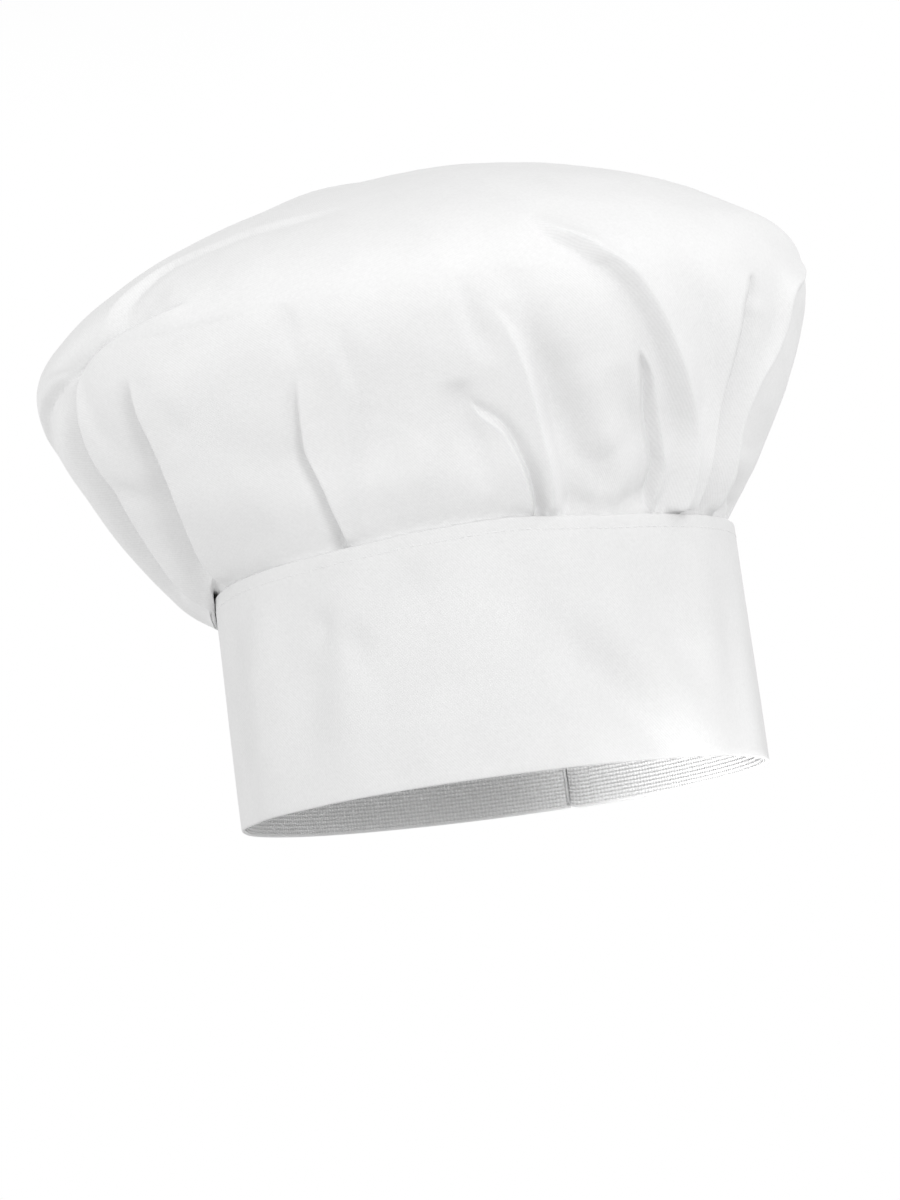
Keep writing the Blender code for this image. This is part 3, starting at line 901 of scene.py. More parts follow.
def inner_face(plain, normals, outer, shares):
    """The crown's inner face, a cloth's thickness inside the lowest of the folds around, with fewer rows."""
    rows = len(shares)
    moved = outer - plain
    out = (moved * normals).sum(axis=2)
    along = moved - normals * out[..., None]
    lowest = out.copy()
    for row_shift in range(-INNER_STRIDE + 1, INNER_STRIDE):
        for column_shift in (-1, 0, 1):
            nearby = np.roll(out, column_shift, axis=1)
            nearby = nearby[np.clip(np.arange(rows) + row_shift, 0, rows - 1)]
            lowest = np.minimum(lowest, nearby)
    inner = plain + along + normals * (lowest - CROWN_CLOTH)[..., None]
    hem = [row for row in range(rows) if shares[row] <= 0.0]
    level = outer[hem].copy()
    level[..., 2] = 0.0
    level /= np.linalg.norm(level, axis=2, keepdims=True)
    inner[hem] = outer[hem] - level * CROWN_CLOTH
    kept = [0, 1, 2, 3] + list(range(6, rows - 1, INNER_STRIDE)) + [rows - 1]
    return inner, kept


def make_crown(materials):
    shares = crown_shares()
    azimuth = crown_azimuths(crown_columns(), shares)
    plain, normals, outer = crown_points(azimuth, shares)
    inner, kept = inner_face(plain, normals, outer, shares)
    rows, columns = azimuth.shape

    turns = np.hstack([azimuth, azimuth[:, :1] + 360.0])
    lengths = meridian_length(shares)[:, None] + 0 * turns
    side_uv = np.stack([np.radians(turns) * CLOTH_RADIUS, lengths], axis=2)

    tip = outer[-1].mean(axis=0)
    tip[2] = outer[-1, :, 2].max()
    vertices = list(outer.reshape(-1, 3)) + [tip]
    inner_start = len(vertices)
    for row in kept:
        vertices += list(inner[row])
    vertices.append(tip - np.array([0.0, 0.0, CROWN_CLOTH]))

    mesh = Faces()
    mesh.grid([row * columns for row in range(rows)], columns, side_uv)
    mesh.fan((rows - 1) * columns, columns, rows * columns, side_uv[-1])
    inner_rows = [inner_start + step * columns for step in range(len(kept))]
    mesh.grid(inner_rows, columns, side_uv[kept], outwards=False)
    mesh.fan(inner_rows[-1], columns, len(vertices) - 1, side_uv[-1], outwards=False)
    mesh.grid([inner_start, 0], columns, [side_uv[0], side_uv[0]])
    crown = mesh_object("crown", vertices, mesh.faces, mesh.uvs)
    finish_piece(crown, materials["crown"], "hat", "crown_cloth", "crown_panel")
    return azimuth, shares, outer


# ---------------------------------------------------------------- the band

# soft dents and swells of the stiff cloth: azimuth and tilt in degrees, the rest in mm, as
# (azimuth, height, reach round, reach up, tilt, depth), with depth below zero for a dent
DENTS = [
    (-64, 28, 10, 34, -38, -2.0),
    (-47, 50, 12, 26, -36, -1.2),
    (-50, 24, 10, 26, -36, 0.8),
    (-88, 45, 22, 26, 10, 0.9),
    (-36, 46, 12, 30, 14, 0.8),
    (-26, 30, 12, 30, 0, -0.5),
    (-127, 62, 5, 6, 20, -1.0),
    (-118, 53, 5, 6, 0, -0.9),
    (-147, 52, 10, 26, 16, 1.2),
    (-133, 36, 12, 30, 16, -1.3),
    (-160, 35, 9, 30, 4, -1.5),
    (-122, 28, 9, 22, 10, 0.8),
    (-104, 20, 16, 14, 0, 0.6),
    (-104, 68, 12, 9, -20, -0.6),
    (35, 40, 20, 30, 20, -1.0),
    (140, 45, 18, 26, -15, -1.1),
    (165, 35, 14, 30, 0, 0.8),
]
DENT_STRENGTH = 2.6
NARROWING = 0.8 * MM
STITCH_HEIGHT = 82.4 * MM
STITCH_DIMPLE = 0.06 * MM


def band_dents(azimuth, height):
    """How far the stiff cloth is dented or swollen at each place."""
    total = np.zeros(np.broadcast(azimuth, height).shape)
    for centre, level, reach, rise, tilt, depth in DENTS:
        x = np.radians(turn_from(azimuth, centre)) * BAND_RADIUS / MM
        y = height / MM - level
        c, s = math.cos(math.radians(tilt)), math.sin(math.radians(tilt))
        across, along = x * c - y * s, x * s + y * c
        total = total + DENT_STRENGTH * depth * MM * bell(across / reach) * bell(along / rise)
    away = np.abs(turn_from(azimuth, TAB_ROOT_ANGLE + TAB_LENGTH_DEG / 2))
    return total * ramp(away, 22.0, 44.0)


def band_places(laps, heights, depths):
    """Points depth under the band's outer face, rows by columns; laps run clockwise from above."""
    lap, height, depth = np.broadcast_arrays(laps, heights, depths)
    azimuth = TAB_ROOT_ANGLE - lap
    top = ring_table(azimuth, TOP_EDGE_MM) * MM
    place = height + top * smooth(height / BAND_HEIGHT)
    radius = BAND_RADIUS + lap_level(lap) - depth - NARROWING * smooth(height / BAND_HEIGHT)
    radius = radius + band_dents(azimuth, height)
    angle = np.radians(azimuth)
    return np.stack([radius * np.cos(angle), radius * np.sin(angle), place], axis=-1)


def half_round(centre_height, depth_from, depth_to, upwards, steps=5):
    """Points of an edge that rolls over from one depth to another."""
    middle, radius = (depth_from + depth_to) / 2, abs(depth_to - depth_from) / 2
    points = []
    for step in range(1, steps):
        turn = math.pi * step / steps
        depth = middle + (depth_from - middle) * math.cos(turn)
        rise = radius * math.sin(turn)
        points.append((depth, centre_height + (rise if upwards else -rise)))
    return points


def spaced(low, high, step):
    count = max(1, int(round((high - low) / step)))
    return [low + (high - low) * i / count for i in range(count + 1)]


def turned_cloth_profile(top, bottom, lip_depth, turn_in):
    """Section of the outer cloth: folded in over the layers at its top and its bottom."""
    outside = []
    for height in spaced(bottom + lip_depth / 2, top - lip_depth / 2, 2.4 * MM):
        outside.append((0.0, height))
    stitch_rows = [STITCH_HEIGHT + offset * MM for offset in (-0.8, 0.0, 0.8)]
    outside = [p for p in outside if abs(p[1] - STITCH_HEIGHT) > 1.4 * MM]
    outside += [(STITCH_DIMPLE if abs(h - STITCH_HEIGHT) < 0.1 * MM else 0.0, h) for h in stitch_rows]
    outside.sort(key=lambda p: p[1])
    profile = outside + half_round(top - lip_depth / 2, 0.0, lip_depth, True)
    profile += [(lip_depth, top - lip_depth / 2), (lip_depth, top - turn_in)]
    profile += [(OUTER_CLOTH, top - turn_in)]
    for depth, height in reversed(outside):
        if bottom + turn_in < height < top - turn_in - 0.3 * MM:
            profile.append((OUTER_CLOTH + depth, height))
    profile += [(OUTER_CLOTH, bottom + turn_in), (lip_depth, bottom + turn_in)]
    profile += [(lip_depth, bottom + lip_depth / 2)]
    profile += half_round(bottom + lip_depth / 2, lip_depth, 0.0, False)
    return profile


def plain_profile(top, bottom, depth, thickness, step=3.0 * MM):
    """Section of an even layer with softly rounded edges."""
    heights = spaced(bottom + thickness / 2, top - thickness / 2, step)
    profile = [(depth, height) for height in heights]
    profile += half_round(heights[-1], depth, depth + thickness, True, 4)
    profile += [(depth + thickness, height) for height in reversed(heights)]
    profile += half_round(heights[0], depth + thickness, depth, False, 4)
    return profile


def sweep(name, points, along, profile):
    """A closed body from a grid of points: rows go round the section and columns along the piece."""
    rows, columns = points.shape[:2]
    section = np.array(profile + profile[:1])
    lengths = np.concatenate([[0.0], np.cumsum(np.hypot(*np.diff(section, axis=0).T))])
    faces, uvs = [], []
    for row in range(rows):
        above = (row + 1) % rows
        for column in range(columns - 1):
            a, b = row * columns + column, row * columns + column + 1
            c, d = above * columns + column, above * columns + column + 1
            faces.append((b, a, c, d))
            u0, u1 = along[column], along[column + 1]
            v0, v1 = lengths[row], lengths[row + 1]
            uvs += [(u1, v0), (u0, v0), (u0, v1), (u1, v1)]
    for column, flip in ((0, False), (columns - 1, True)):
        ring = [row * columns + column for row in range(rows)]
        places = [(along[column], length) for length in lengths[:-1]]
        if flip:
            ring.reverse()
            places.reverse()
        faces.append(tuple(reversed(ring)))
        uvs += list(reversed(places))
    piece = mesh_object(name, points.reshape(-1, 3), faces, uvs)
    piece.data.set_sharp_from_angle(angle=math.radians(50))
    return piece


def lap_sweep(name, laps, profile, shape=None):
    """Sweeps a section of (depth, height) points along the band. shape may trim the heights for a lap."""
    laps = np.array(laps)
    depth = np.array([p[0] for p in profile])[:, None]
    height = np.array([p[1] for p in profile])[:, None] + 0 * laps[None, :]
    if shape is not None:
        height = shape(laps[None, :], height)
    points = band_places(laps[None, :], height, depth)
    return sweep(name, points, -np.radians(laps) * BAND_RADIUS, profile)


def even_laps(first, last, step):
    return list(np.linspace(first, last, max(2, int(round((last - first) / step)) + 1)))


SEAM_LAP = 2.0
LIP_DEPTH = OUTER_CLOTH + INTERLINING + CLEARANCE
STIFFENER_DEPTH = OUTER_CLOTH + CLEARANCE
LINING_DEPTH = STIFFENER_DEPTH + INTERLINING + CLEARANCE
TURN_IN = 1.3 * MM
STIFFENER_EDGE = 1.7 * MM
LINING_TOP_EDGE = 2.0 * MM
LINING_LOW_EDGE = 0.8 * MM


def make_band(materials):
    laps = even_laps(SEAM_LAP, BAND_END, 1.2)
    cloth = lap_sweep("band_outer_cloth", laps, turned_cloth_profile(BAND_HEIGHT, 0.0, LIP_DEPTH, TURN_IN))
    finish_piece(cloth, materials["band"], "hat", "band_cloth", "band_outer")
    profile = plain_profile(BAND_HEIGHT - STIFFENER_EDGE, STIFFENER_EDGE, STIFFENER_DEPTH, INTERLINING)
    stiffener = lap_sweep("band_stiffener", even_laps(SEAM_LAP, BAND_END - 0.6, 2.0), profile)
    finish_piece(stiffener, materials["interlining"], "hat", "interlining", "band_interlining")
    profile = plain_profile(BAND_HEIGHT - LINING_TOP_EDGE, LINING_LOW_EDGE, LINING_DEPTH, LINING)
    lining = lap_sweep("band_inside_lining", even_laps(SEAM_LAP, BAND_END - 0.4, 1.5), profile)
    finish_piece(lining, materials["lining"], "hat", "lining", "band_lining")


TAB_BOTTOM = 1.8 * MM
TAB_TOP = 84.8 * MM
TAB_CORNER = 12 * MM


def tab_shape(inset):
    """Trims heights to the tab's outline: a straight strip with round corners at its free end."""

    def trim(lap, height):
        out = smooth((-lap - 1.0) / 5.0)
        low = TAB_BOTTOM * out + inset
        high = BAND_HEIGHT + (TAB_TOP - BAND_HEIGHT) * out - inset
        to_end = np.radians(lap + TAB_LENGTH_DEG) * BAND_RADIUS - inset
        radius = TAB_CORNER - inset
        short = np.clip(radius - to_end, 0.0, radius)
        corner = radius - np.sqrt(np.maximum(radius ** 2 - short ** 2, 0.0))
        share = height / BAND_HEIGHT
        return low + corner + share * (high - low - 2 * corner)

    return trim


def tab_laps(inset):
    """Laps along the tab, closer together at its round corners."""
    corner = math.degrees((TAB_CORNER - inset) / BAND_RADIUS)
    first = -TAB_LENGTH_DEG + math.degrees(inset / BAND_RADIUS)
    laps = [first + corner * (1.0 - math.cos(math.pi / 2 * i / 8)) for i in range(8)]
    return laps + even_laps(first + corner, SEAM_LAP - 0.05, 0.9)


def blend_tab(piece):
    """Bakes the piece's placement into its points."""
    start = Vector(band_places(1.0, BAND_HEIGHT / 2, 0.0))
    end = Vector(band_places(-8.0, BAND_HEIGHT / 2, 0.0))
    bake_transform(piece)


def tab_piece(name, profile, inset, material, slot, node):
    piece = lap_sweep(name, tab_laps(inset), profile, tab_shape(inset))
    finish_piece(piece, material, None, slot, node)
    blend_tab(piece)


def make_tab(materials):
    """The free end of the band: its outer cloth, stiffener and lining."""
    profile = turned_cloth_profile(BAND_HEIGHT, 0.0, LIP_DEPTH, TURN_IN)
    tab_piece("tab_outer_cloth", profile, 0.0, materials["band"], "band_cloth", "tab_outer")
    profile = plain_profile(BAND_HEIGHT, 0.0, STIFFENER_DEPTH, INTERLINING)
    tab_piece("tab_stiffener", profile, 1.6 * MM, materials["interlining"], "interlining", "tab_interlining")
    profile = plain_profile(BAND_HEIGHT, 0.0, LINING_DEPTH, LINING)
    tab_piece("tab_inside_lining", profile, 0.8 * MM, materials["lining"], "lining", "tab_lining")


# ---------------------------------------------------------------- closure, tape, label and binding

STRIP_BOTTOM = 20 * MM
STRIP_TOP = 68 * MM
STRIP_BORDER = 1.2 * MM
HOOK_LAPS = (-32.0, -8.0)
HOOK_DEPTH = LAYERS + CLEARANCE
HOOK_GRAIN = 1.1 * MM
LOOP_LAPS = (324.0, 352.0)
LOOP_DEPTH = -CLEARANCE - STRIP
LOOP_GRAIN = 0.9 * MM
TAPE_TOP = 84.5 * MM
TAPE_BOTTOM = 72.0 * MM
TAPE_WAVE = 0.25 * MM
SEAM_HEIGHT = 80 * MM
LABEL_LAPS = (292.0, 308.0)
LABEL_BOTTOM = 47 * MM
LABEL_TOP = 84 * MM
LABEL_THICKNESS = 0.3 * MM
LABEL_CURL = 0.9 * MM


def fuzzy_strip(name, ends, depth, outside, grain, seed):
    """A strip of hooks or loops: a flat tape whose working face is covered with a fine uneven pile."""
    first, last = ends
    laps = even_laps(first, last, math.degrees(grain / BAND_RADIUS))
    heights = spaced(STRIP_BOTTOM, STRIP_TOP, grain)
    rng = random.Random(seed)
    low = np.zeros((len(heights), len(laps)))
    for row, height in enumerate(heights):
        for column, lap in enumerate(laps):
            to_edge = min(height - STRIP_BOTTOM, STRIP_TOP - height,
                          math.radians(lap - first) * BAND_RADIUS, math.radians(last - lap) * BAND_RADIUS)
            border = to_edge < STRIP_BORDER
            low[row, column] = STRIP * (0.45 if border else rng.uniform(0.0, 0.35))
    lap = np.array(laps)[None, :]
    height = np.array(heights)[:, None]
    outer = band_places(lap, height, depth + low * outside)
    inner = band_places(lap, height, depth + STRIP - low * (not outside))
    uv = np.stack([-np.radians(lap) * BAND_RADIUS + 0 * height, height + 0 * lap], axis=2)
    piece = closed_sheet(name, outer[:, ::-1], inner[:, ::-1], uv[:, ::-1])
    piece.data.set_sharp_from_angle(angle=math.radians(60))
    return piece


def make_strips(materials):
    hooks = fuzzy_strip("hook_face", HOOK_LAPS, HOOK_DEPTH, False, HOOK_GRAIN, 3)
    finish_piece(hooks, materials["nylon"], "tab", "hook_nylon", "hook_strip")
    loops = fuzzy_strip("loop_face", LOOP_LAPS, LOOP_DEPTH, True, LOOP_GRAIN, 4)
    finish_piece(loops, materials["pile"], "hat", "loop_pile", "loop_strip")


def ring_places(azimuth, depth, height):
    """Points of the crown's hem and what is sewn to it, depth inside its outer face."""
    azimuth, depth, height = np.broadcast_arrays(azimuth, depth, height)
    radius = BAND_RADIUS - LAYERS - CLEARANCE + seam_level(azimuth) - depth
    angle = np.radians(azimuth)
    return np.stack([radius * np.cos(angle), radius * np.sin(angle), height], axis=-1)


def make_tape(materials):
    """A woven tape over the seam inside, with its two ends meeting at the back."""
    azimuths = np.linspace(88.0, 88.0 + 359.4, 300)
    profile = plain_profile(TAPE_TOP, TAPE_BOTTOM, CROWN_CLOTH + CLEARANCE, TAPE, 2.0 * MM)
    depth = np.array([p[0] for p in profile])[:, None]
    height = np.array([p[1] for p in profile])[:, None]
    wave = TAPE_WAVE * np.sin(np.radians(azimuths) * 23)[None, :] * (height < SEAM_HEIGHT)
    points = ring_places(azimuths[None, :], depth + wave * 0.3, height + wave)
    tape = sweep("tape_ring", points[:, ::-1], np.radians(azimuths[::-1]) * BAND_RADIUS, profile)
    finish_piece(tape, materials["tape"], "hat", "tape", "seam_tape")


def make_label(materials):
    """A blank care label that hangs from its top edge, a little curled."""
    first, last = LABEL_LAPS
    lap, height = np.meshgrid(even_laps(first, last, 0.8), spaced(LABEL_BOTTOM, LABEL_TOP, 1.5 * MM))
    low = (LABEL_TOP - height) / (LABEL_TOP - LABEL_BOTTOM)
    middle = 1.0 - ((2 * lap - first - last) / (last - first)) ** 2
    depth = LAYERS + 0.25 * MM + LABEL_CURL * low ** 2 * (1.0 - 0.5 * middle)
    outer = band_places(lap, height, depth)
    inner = band_places(lap, height, depth + LABEL_THICKNESS)
    uv = np.stack([-np.radians(lap) * BAND_RADIUS, height], axis=2)
    label = closed_sheet("care_label_blank", outer[:, ::-1], inner[:, ::-1], uv[:, ::-1])
    finish_piece(label, materials["label"], "hat", "label", "care_label")


# the binding's half width is in degrees, its ends are shares, and its stitches are at a part of its width
BINDING_HALF_WIDTH = 2.6
BINDING_LOW = 0.08
BINDING_HIGH = 0.68
BINDING_STITCHES = 0.62


def crown_sampler(azimuth, shares, outer):
    """Gives points and normals of the crown's outer face at any azimuth on the back and any share."""
    columns = azimuth[0]
    order = np.argsort(columns)
    sorted_columns = columns[order]
    normals = surface_normals(outer)

    def at(places_azimuth, places_share):
        a, s = np.broadcast_arrays(places_azimuth, places_share)
        column = np.clip(np.searchsorted(sorted_columns, a) - 1, 0, len(order) - 2)
        row = np.clip(np.searchsorted(shares, s) - 1, 0, len(shares) - 2)
        left, right = order[column], order[column + 1]
        x = (a - columns[left]) / (columns[right] - columns[left])
        y = (s - shares[row]) / (shares[row + 1] - shares[row])
        x, y = x[..., None], y[..., None]
        results = []
        for grid in (outer, normals):
            low = grid[row, left] * (1 - x) + grid[row, right] * x
            high = grid[row + 1, left] * (1 - x) + grid[row + 1, right] * x
            results.append(low * (1 - y) + high * y)
        return results

    return at


def make_binding(materials, at):
    """Bias binding on both lips of the closed slit in the crown's back, with round ends."""
    rows, columns = 70, 15
    shares = np.linspace(BINDING_LOW, BINDING_HIGH, rows)
    across = np.linspace(-1.0, 1.0, columns)
    share, side = np.meshgrid(shares, across, indexing="ij")
    middle = (BINDING_LOW + BINDING_HIGH) / 2
    end = np.clip(np.abs(share - middle) / (BINDING_HIGH - middle), 0.0, 1.0)
    width = BINDING_HALF_WIDTH * np.clip(1.0 - ((end - 0.93) / 0.07).clip(0.0, 1.0) ** 2, 0.12, 1.0) ** 0.5
    points, normals = at(SLIT_AZIMUTH + side * width, share)
    roundness = np.sqrt(np.clip(1.0 - side ** 2, 0.0, 1.0)) ** 0.6
    groove = bell(side / 0.10) + 0.25 * bell((np.abs(side) - BINDING_STITCHES) / 0.06)
    height = 0.35 * MM + 0.75 * MM * np.clip(roundness, 0.25, 1.0) - 0.5 * MM * groove
    outer = points + normals * height[..., None]
    inner = points + normals * (0.12 * MM)
    uv = np.stack([side * 4.4 * MM, share * SIDE_LENGTH], axis=2)
    binding = closed_sheet("slit_bias_binding", outer, inner, uv)
    finish_piece(binding, materials["crown"], "hat", "tape", "slit_binding")


# ---------------------------------------------------------------- stitches

STITCH = 2.2 * MM
STITCH_GAP = 0.7 * MM
THREAD_RADIUS = 0.13 * MM
THREAD_SIDES = 6
THREAD_RINGS = 6


def thread_faces(first):
    """Faces of one stitch: a short tube with closed ends, whose points start at first."""
    faces = []
    for ring in range(THREAD_RINGS - 1):
        for side in range(THREAD_SIDES):
            a = first + ring * THREAD_SIDES + side
            b = first + ring * THREAD_SIDES + (side + 1) % THREAD_SIDES
            faces.append((a, b, b + THREAD_SIDES, a + THREAD_SIDES))
    last = first + (THREAD_RINGS - 1) * THREAD_SIDES
    faces.append(tuple(range(first + THREAD_SIDES - 1, first - 1, -1)))
    faces.append(tuple(range(last, last + THREAD_SIDES)))
    return faces


def stitch_row(name, points, normals, closed=False):
    """Single stitches along a line of points: each one is a short thread that dives in at both ends."""
    points = np.array(points)
    normals = np.array(normals)
    if closed:
        points = np.vstack([points, points[:1]])
        normals = np.vstack([normals, normals[:1]])
    steps = np.linalg.norm(np.diff(points, axis=0), axis=1)
    travelled = np.concatenate([[0.0], np.cumsum(steps)])
    count = max(1, int(travelled[-1] / (STITCH + STITCH_GAP)))
    pitch = travelled[-1] / count
    share = np.linspace(-1.0, 1.0, THREAD_RINGS)
    lift = THREAD_RADIUS * (0.75 - 1.5 * share ** 4)
    thin = THREAD_RADIUS * np.clip(1.0 - share ** 8, 0.45, 1.0)
    vertices, faces = [], []
    for number in range(count):
        at = number * pitch + (pitch - STITCH_GAP) * np.linspace(0.0, 1.0, THREAD_RINGS)
        line = np.stack([np.interp(at, travelled, points[:, k]) for k in range(3)], axis=1)
        up = np.stack([np.interp(at, travelled, normals[:, k]) for k in range(3)], axis=1)
        up /= np.linalg.norm(up, axis=1, keepdims=True)
        along = np.gradient(line, axis=0)
        along /= np.linalg.norm(along, axis=1, keepdims=True)
        beside = np.cross(along, up)
        faces += thread_faces(len(vertices))
        for ring in range(THREAD_RINGS):
            for side in range(THREAD_SIDES):
                turn = 2 * math.pi * side / THREAD_SIDES
                offset = beside[ring] * math.cos(turn) + up[ring] * math.sin(turn)
                vertices.append(line[ring] + up[ring] * lift[ring] + offset * thin[ring])
    return mesh_object(name, vertices, faces)


def outward(points):
    """Directions away from the band's axis."""
    flat = np.array(points, float)
    flat[..., 2] = 0.0
    return flat / np.linalg.norm(flat, axis=-1, keepdims=True)


def stitch_piece(piece, materials, body, *nodes):
    return finish_piece(piece, materials["thread"], body, "thread", *nodes)


def tab_outline(inset):
    """Lap and height of points along the tab's outline, inset from its edge, from its root and back."""
    low, high = TAB_BOTTOM + inset, TAB_TOP - inset
    radius = TAB_CORNER - inset
    end = -TAB_LENGTH_DEG + math.degrees(inset / BAND_RADIUS)
    bend = math.degrees(radius / BAND_RADIUS)
    turns = [math.pi / 2 * number / 8 for number in range(9)]
    outline = [(lap, low) for lap in reversed(even_laps(end + bend, 0.5, 0.6))]
    outline += [(end + bend * (1 - math.sin(t)), low + radius * (1 - math.cos(t))) for t in turns]
    outline += [(end, height) for height in spaced(low + radius, high - radius, 1.0 * MM)]
    outline += [(end + bend * (1 - math.cos(t)), high - radius * (1 - math.sin(t))) for t in turns]
    return outline + [(lap, high) for lap in even_laps(end + bend, 0.5, 0.6)]


def strip_outline(ends, inset=2.0 * MM):
    """Lap and height of points round a strip of hooks or loops, inset from its edge."""
    turn = math.degrees(inset / BAND_RADIUS)
    first, last = ends[0] + turn, ends[1] - turn
    low, high = STRIP_BOTTOM + inset, STRIP_TOP - inset
    laps = even_laps(first, last, 0.6)
    heights = spaced(low, high, 1.0 * MM)
    outline = [(lap, low) for lap in laps]
    outline += [(last, height) for height in heights[1:]]
    outline += [(lap, high) for lap in laps[-2::-1]]
    return outline + [(first, height) for height in heights[-2:0:-1]]


def band_stitches(name, line, depth, inside=False, closed=False):
    """Stitches along a line of (lap, height) on the band's outer or inner face."""
    laps, heights = np.array(line).T
    points = band_places(laps, heights, depth)
    normals = outward(points)
    return stitch_row(name, points, -normals if inside else normals, closed)


def make_stitches(materials, at):
    top = [(lap, STITCH_HEIGHT) for lap in even_laps(SEAM_LAP + 0.5, 320.0, 0.6)]
    row = band_stitches("top_edge_stitches", top, STITCH_DIMPLE)
    stitch_piece(row, materials, "hat", "band_top_thread")

    edge = band_stitches("tab_edge_stitches", tab_outline(4 * MM), 0.0)
    stitch_piece(edge, materials, None, "tab_edge_thread")
    blend_tab(edge)

    azimuths = np.linspace(90.0, 450.0, 400)[:-1]
    seam = ring_places(azimuths, CROWN_CLOTH + CLEARANCE + TAPE, SEAM_HEIGHT)
    seam = stitch_row("seam_stitches", seam, -outward(seam), closed=True)
    stitch_piece(seam, materials, "hat", "crown_seam_thread")

    row = band_stitches("hook_stitches", strip_outline(HOOK_LAPS), HOOK_DEPTH + STRIP, True, True)
    stitch_piece(row, materials, "tab")
    row = band_stitches("loop_stitches", strip_outline(LOOP_LAPS), LOOP_DEPTH, False, True)
    stitch_piece(row, materials, "hat")

    label = [(lap, LABEL_TOP - 2.0 * MM) for lap in even_laps(LABEL_LAPS[0] + 1.0, LABEL_LAPS[1] - 1.0, 0.6)]
    row = band_stitches("label_stitches", label, LAYERS + 0.6 * MM, True)
    stitch_piece(row, materials, "hat")

    shares = np.linspace(BINDING_LOW + 0.03, BINDING_HIGH - 0.03, 90)
    for side in (-1, 1):
        points, normals = at(SLIT_AZIMUTH + side * BINDING_STITCHES * BINDING_HALF_WIDTH, shares)
        name = "binding_stitches_left" if side < 0 else "binding_stitches_right"
        row = stitch_row(name, points + normals * 0.85 * MM, normals)
        stitch_piece(row, materials, "hat")


# ---------------------------------------------------------------- stage


WALL_LIGHT = 1.0
LIGHT_FROM_ABOVE = 0.70
LIGHT_FROM_BELOW = 0.62
WALL_FULL = 0.20
WALL_GONE = 0.45
FLOOR_HEIGHT = -0.30
FLOOR_RADIUS = 6.0


def make_world():
    """An even studio: soft light from all sides, and a brighter white wall at eye level all round."""
    world = bpy.data.worlds.new("studio")
    bpy.context.scene.world = world
    world.use_nodes = True
    tree = world.node_tree
    background = tree.nodes["Background"]
    direction = tree.nodes.new("ShaderNodeTexCoord")
    split = tree.nodes.new("ShaderNodeSeparateXYZ")
    tree.links.new(direction.outputs["Generated"], split.inputs[0])
    level = tree.nodes.new("ShaderNodeMath")
    level.operation = "ABSOLUTE"
    tree.links.new(split.outputs[2], level.inputs[0])

    def map_range(value, settings):
        node = tree.nodes.new("ShaderNodeMapRange")
        for name, setting in settings.items():
            node.inputs[name].default_value = setting
        tree.links.new(value, node.inputs["Value"])
        return node

    rising = {"From Min": -WALL_GONE, "From Max": WALL_GONE}
    room = map_range(split.outputs[2], {**rising, "To Min": LIGHT_FROM_BELOW, "To Max": LIGHT_FROM_ABOVE})
    away = {"From Min": WALL_FULL, "From Max": WALL_GONE, "To Min": WALL_LIGHT}
    fade = map_range(level.outputs[0], away)
    fade.interpolation_type = "SMOOTHSTEP"
    tree.links.new(room.outputs[0], fade.inputs["To Max"])
    tree.links.new(fade.outputs[0], background.inputs["Strength"])
    background.inputs["Color"].default_value = (1.0, 1.0, 1.0, 1.0)
    bpy.context.scene.view_settings.view_transform = "Standard"


def make_stage():
    make_world()
    bpy.ops.mesh.primitive_circle_add(vertices=96, radius=FLOOR_RADIUS, fill_type="NGON",
                                      location=(0.0, 0.0, FLOOR_HEIGHT))
    floor = bpy.context.object
    floor.name = "floor"
    n = Nodes("pale_floor")
    n.colour(n.noise(n.solid(), 3.0), grey(0.93), grey(0.95))
    floor.data.materials.append(n.surface(None, 0.9, 0.1))
    floor.visible_diffuse = False
    floor.visible_shadow = False


def place_lamp(light, place, target):
    """Puts a light at place, turned towards target."""
    lamp = bpy.data.objects.new(light.name, light)
    lamp.location = place
    lamp.rotation_mode = "QUATERNION"
    lamp.rotation_quaternion = (Vector(place) - Vector(target)).to_track_quat("Z", "Y")
    bpy.context.scene.collection.objects.link(lamp)


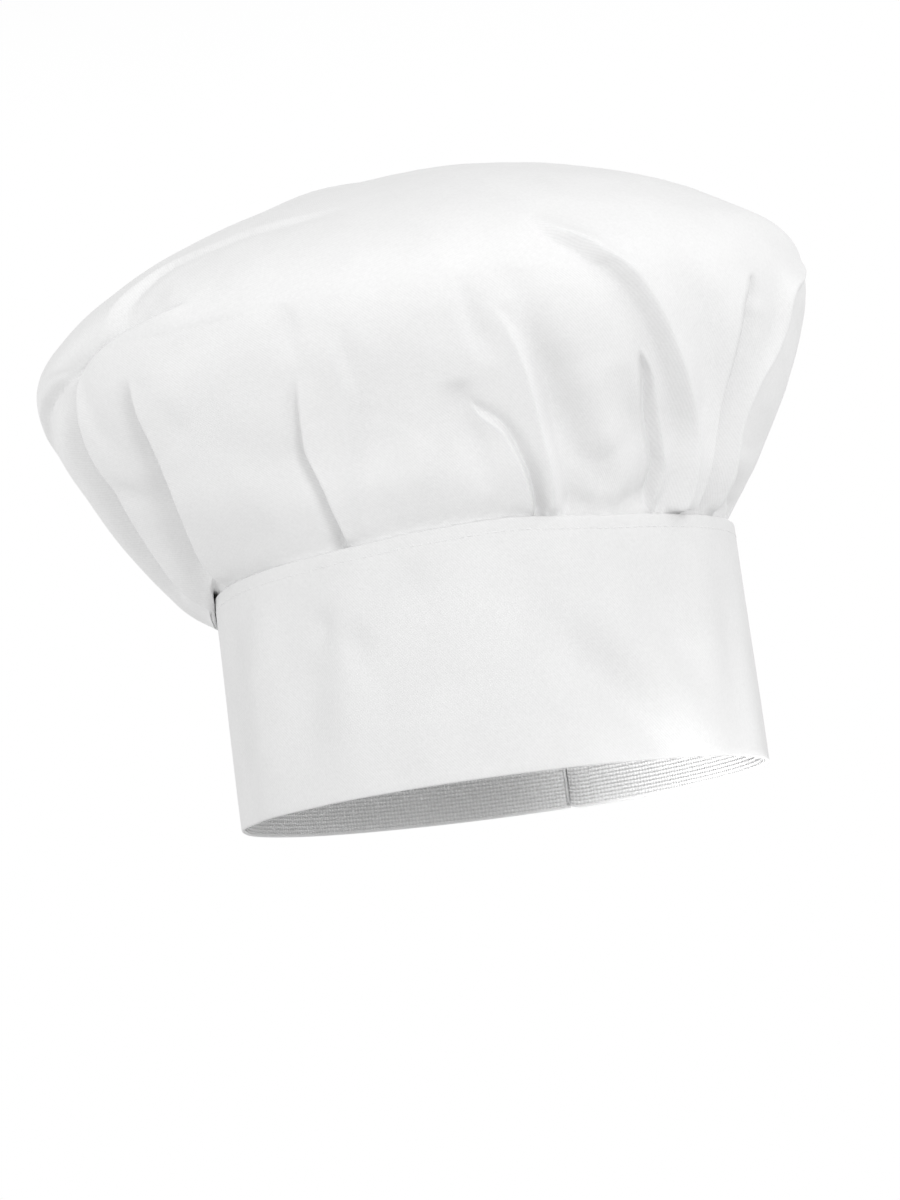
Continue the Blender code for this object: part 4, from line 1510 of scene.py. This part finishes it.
def area_light(name, place, target, size, watts):
    light = bpy.data.lights.new(name, "AREA")
    light.shape = "DISK"
    light.size = size
    light.energy = watts
    place_lamp(light, place, target)


def light_inside():
    """A soft spot from below and the left, which reaches the lining on the right of the opening."""
    light = bpy.data.lights.new("inside", "SPOT")
    light.energy = 88.0
    light.spot_size = math.radians(8.5)
    light.spot_blend = 1.0
    light.shadow_soft_size = 0.06
    place_lamp(light, (-0.06, -0.60, -0.55), (0.092, 0.038, 0.004))


def make_lights():
    area_light("key", (0.65, -1.85, 0.45), (0.0, 0.0, 0.13), 0.7, 8.6)
    area_light("high_right", (1.45, -0.95, 1.50), (0.0, 0.0, 0.15), 1.0, 5.0)
    area_light("left_fill", (-2.00, -0.80, 0.10), (0.0, 0.0, 0.13), 1.6, 6.0)
    light_inside()


CAMERA_DISTANCE = 2.0
CAMERA_BELOW_DEG = 6.6
CAMERA_ROLL_DEG = 7.6
CAMERA_LENS = 167.4
CAMERA_TARGET = Vector((-10.4 * MM, 0.0, 73.1 * MM))


def make_camera():
    """Level with the hat from the front, a little below its rim, and rolled so that the hat tips left."""
    data = bpy.data.cameras.new("camera")
    data.lens = CAMERA_LENS
    data.sensor_width = 36.0
    data.clip_start = 0.05
    data.clip_end = 50.0
    camera = bpy.data.objects.new("camera", data)
    bpy.context.scene.collection.objects.link(camera)
    below = math.radians(CAMERA_BELOW_DEG)
    back = Vector((0.0, -math.cos(below), -math.sin(below)))
    look = back.to_track_quat("Z", "Y").to_matrix().to_4x4()
    roll = Matrix.Rotation(-math.radians(CAMERA_ROLL_DEG), 4, "Z")
    camera.matrix_world = Matrix.Translation(CAMERA_TARGET + back * CAMERA_DISTANCE) @ look @ roll
    bpy.context.scene.camera = camera


# ---------------------------------------------------------------- all of it


def main():
    make_camera()
    make_stage()
    make_lights()
    materials = make_materials()
    azimuth, shares, outer = make_crown(materials)
    at = crown_sampler(azimuth, shares, outer)
    make_band(materials)
    make_tab(materials)
    make_strips(materials)
    make_tape(materials)
    make_label(materials)
    make_binding(materials, at)
    make_stitches(materials, at)


main()
